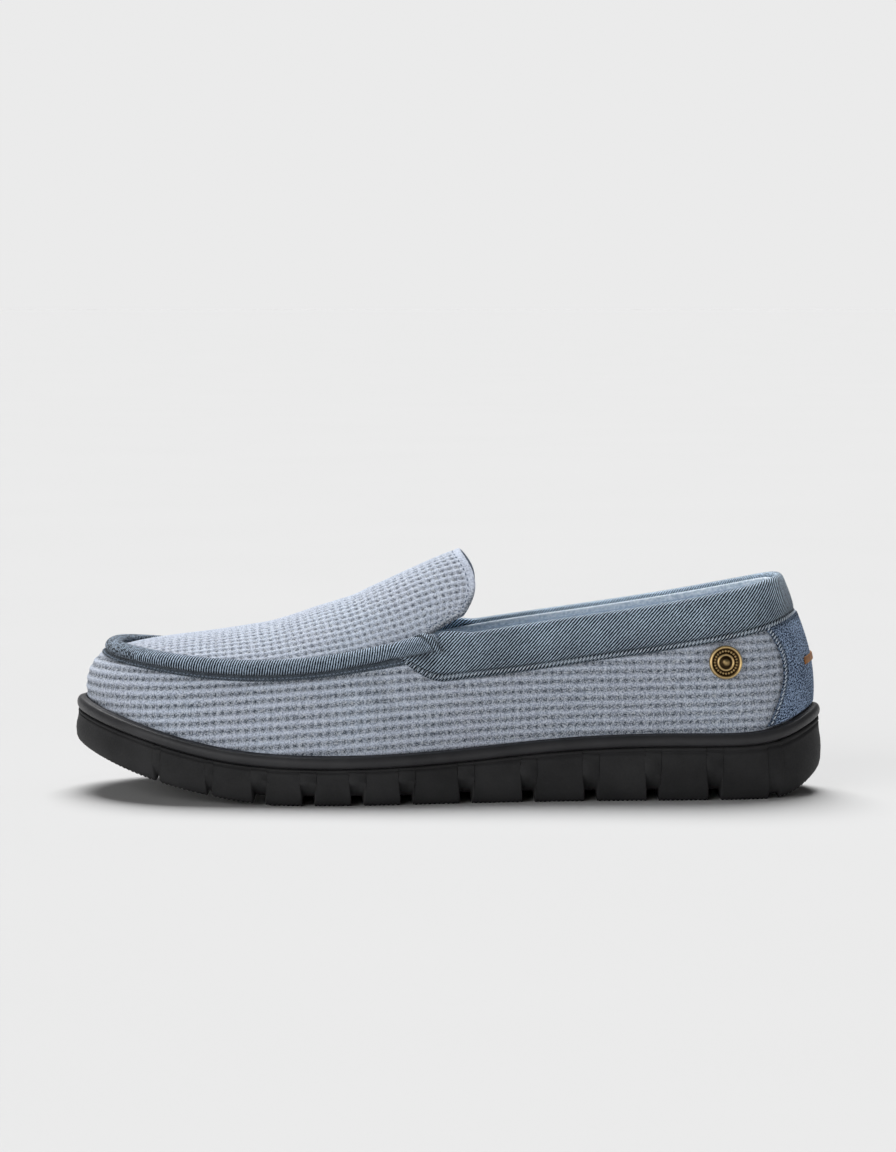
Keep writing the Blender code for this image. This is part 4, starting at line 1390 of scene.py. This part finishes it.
def heelCounter():
    share = edgeSteps(counter["tall"], counter["step"], counter["edge"])[:, None]
    column = edgeSteps(counter["wide"], counter["step"], counter["edge"])[None, :]
    station, level = counterPlace(share, column)
    points = wallAt(station, level)
    points = points + normalsOf(points) * (last["gap"] + counter["thick"] / 2.0)
    across = lengthsOf(points, 1)
    toSide = np.minimum(across, across[:, -1:] - across)
    toTop = lengthsOf(points[::-1], 0)[::-1]
    # the dark seam band along the front edges, and painted shadow under the collar's edge
    seam, fold = counter["seamWide"], counter["underHem"]
    dark = 1.0 - np.minimum(ease(toSide, seam - counter["seamSoft"], seam),
                            ease(toTop, fold - counter["underSoft"], fold))
    cloth = quilt(points, counter["thick"], counter["edge"], shade=counter["seamShade"] * dark)
    wear(makePiece("heel_counter_denim", cloth, counterDenim), "counter_denim", "heel_counter")
    rows = []
    for side in (0, 1):
        share = np.linspace(*counter["stitchSpan"], counter["stitches"])
        reach = counter["stitchIn"] / counter["wide"]
        station, level = counterPlace(share, reach if side == 0 else 1.0 - reach)
        point, normal, up, ahead = wallFrame(station, level)
        along = unit(up + (1.0 - 2.0 * side) * counter["stitchLean"] * ahead)
        high = last["gap"] + counter["thick"] + counter["stitchUp"]
        rows.append((point + normal * high, along, normal, counter["stitch"]))
    wear(sewStitches("counter_stitches", rows, paleThread), "counter_denim")


tab = {
    "half": 3.5,  # stations to each side of the heel's back
    "low": 0.303,
    "high": 0.356,
    "long": 26.0,
    "tall": 4.0,
    "longStep": 0.8,
    "tallStep": 0.5,
    "thick": 0.7,
    "edge": 0.4,
    "off": 0.35,
}


def heelTab():
    along = 2.0 * edgeSteps(tab["long"], tab["longStep"], tab["edge"]) - 1.0
    station = last["stations"] / 2.0 + tab["half"] * along
    level = tab["low"] + (tab["high"] - tab["low"]) * edgeSteps(tab["tall"], tab["tallStep"], tab["edge"])
    points = wallAt(station[None, :], level[:, None])
    points = points + normalsOf(points) * (tab["off"] + counter["thick"] + tab["thick"] / 2.0)
    strip = quilt(points, tab["thick"], tab["edge"])
    wear(makePiece("heel_tab_leather", strip, leather), "tan_leather", "heel_tab")


snap = {
    "along": 40.9,
    "height": 54.2,
    "stand": 0.6,
    "quarter": (28.0, 36.0),  # stations and levels of the wall among which its place is looked for
    "levels": (0.2, 0.8),
    "steps": 72,
    # radius, height and antique wash from the dome's middle out over the rim to the back
    "profile": ((0.0, 3.0, 0.35), (0.7, 2.9, 0.4), (1.3, 2.6, 0.55), (1.8, 2.1, 0.8), (2.15, 1.6, 0.95),
                (2.4, 1.55, 0.9), (2.7, 1.95, 0.2), (3.0, 2.1, 0.0), (3.3, 1.95, 0.2), (3.6, 1.5, 0.9),
                (4.4, 1.4, 0.95), (5.3, 1.5, 0.9), (5.6, 2.0, 0.3), (5.95, 2.35, 0.0), (6.3, 2.2, 0.0),
                (6.6, 1.6, 0.1), (6.7, 1.0, 0.3), (6.5, 0.3, 0.6), (6.1, 0.0, 0.8)),
    "beads": 24,
    "beadAt": 4.45,
    "beadHeight": 1.45,
    "beadRadius": 0.46,
    "beadWash": 0.1,
}


def snapButton():
    reach = np.linspace(*snap["quarter"], 400)[:, None]
    levels = np.linspace(*snap["levels"], 120)[None, :]
    points = wallAt(reach, levels)
    off = np.hypot(points[..., 0] - snap["along"], points[..., 2] - snap["height"])
    row, column = np.unravel_index(np.argmin(off), off.shape)
    point, normal, _, _ = wallFrame(reach[row, 0], levels[0, column])
    bm = bmesh.new()
    wash = bm.verts.layers.float.new("shade")
    verts = []
    for radius, height, amount in snap["profile"]:
        vert = bm.verts.new((radius * mm, 0.0, height * mm))
        vert[wash] = amount
        verts.append(vert)
    edges = [bm.edges.new(pair) for pair in zip(verts, verts[1:])]
    bmesh.ops.spin(bm, geom=verts + edges, cent=(0.0, 0.0, 0.0), axis=(0.0, 0.0, 1.0), angle=2.0 * pi,
                   steps=snap["steps"], use_merge=True)
    bmesh.ops.remove_doubles(bm, verts=bm.verts, dist=0.005 * mm)
    bmesh.ops.holes_fill(bm, edges=[edge for edge in bm.edges if edge.is_boundary], sides=0)
    for at in range(snap["beads"]):
        turn = 2.0 * pi * at / snap["beads"]
        place = Vector((cos(turn) * snap["beadAt"], sin(turn) * snap["beadAt"], snap["beadHeight"])) * mm
        made = bmesh.ops.create_uvsphere(bm, u_segments=8, v_segments=6, radius=snap["beadRadius"] * mm,
                                         matrix=Matrix.Translation(place))
        for vert in made["verts"]:
            vert[wash] = snap["beadWash"]
    bmesh.ops.recalc_face_normals(bm, faces=bm.faces)
    turn = Vector(normal).to_track_quat("Z", "Y").to_matrix().to_4x4()
    place = (point + normal * snap["stand"] - middle) * mm
    bmesh.ops.transform(bm, matrix=Matrix.Translation(place) @ turn, verts=bm.verts)
    wear(showMesh("snap_cap", bm, brass), "antique_brass", "snap_button")


heelCounter()
heelTab()
snapButton()
print("heel trimmed and snap pressed in")


# Floor, light and camera

studio = {
    "white": 0.83,  # linear value of the backdrop, which reaches a little above the horizon
    "ceiling": 0.06,
    "whiteTo": 0.10,  # sines of the heights between which the one turns into the other
    "ceilingFrom": 0.22,
    "floor": 0.596,
    "floorHalf": 30.0,
    # where each light comes from, its strength and its width in degrees
    "lights": {
        "overhead_softbox": ((0.05, -0.45, 0.89), 4.2, 40.0),
        "front_fill": ((0.62, 0.77, 0.17), 1.74, 60.0),
    },
    "camera": (0.0, 1.5926, 0.2033),
    "aim": (0.0, -0.003, 0.086),
    "lens": 124.3,
}


def paperFloor():
    # Seamless studio paper: matte, with a tone that hardly varies
    finish, tree = newFinish("studio_paper", {"Roughness": 1.0, "Specular IOR Level": 0.0})
    place = addNode(tree, "ShaderNodeTexCoord").outputs["Object"]
    pulp = addNode(tree, "ShaderNodeTexNoise", {"Scale": 4.0, "Detail": 2.0}, {"Vector": place})
    tone = studio["floor"]
    colour = addNode(tree, "ShaderNodeValToRGB",
                     {"ramp": [(0.2, grey(tone - 0.004)), (0.8, grey(tone + 0.004))]},
                     {"Fac": pulp.outputs["Fac"]})
    plugIn(finish, {"Base Color": colour.outputs["Color"]})
    bm = bmesh.new()
    bmesh.ops.create_grid(bm, x_segments=1, y_segments=1, size=studio["floorHalf"])
    showMesh("floor", bm, finish)


def lightAndCamera():
    world = bpy.data.worlds.new("studio")
    world.use_nodes = True
    tree = world.node_tree
    height = addNode(tree, "ShaderNodeSeparateXYZ", None,
                     {"Vector": addNode(tree, "ShaderNodeTexCoord").outputs["Generated"]})
    tone = addNode(tree, "ShaderNodeMapRange",
                   {"interpolation_type": "SMOOTHSTEP",
                    "From Min": studio["whiteTo"], "From Max": studio["ceilingFrom"],
                    "To Min": studio["white"], "To Max": studio["ceiling"]},
                   {"Value": height.outputs["Z"]})
    tree.links.new(tone.outputs["Result"], tree.nodes["Background"].inputs["Color"])
    bpy.context.scene.world = world
    bpy.context.scene.view_settings.view_transform = "Standard"
    for name, (place, strength, wide) in studio["lights"].items():
        sun = bpy.data.lights.new(name, "SUN")
        sun.energy = strength
        sun.angle = radians(wide)
        lamp = bpy.data.objects.new(name, sun)
        lamp.rotation_euler = Vector(place).to_track_quat("Z", "Y").to_euler()
        bpy.context.scene.collection.objects.link(lamp)
    view = bpy.data.cameras.new("camera")
    view.lens = studio["lens"]
    camera = bpy.data.objects.new("camera", view)
    camera.location = studio["camera"]
    aim = Vector(studio["aim"]) - Vector(studio["camera"])
    camera.rotation_euler = aim.to_track_quat("-Z", "Y").to_euler()
    bpy.context.scene.collection.objects.link(camera)
    bpy.context.scene.camera = camera


paperFloor()
lightAndCamera()
print("studio set")
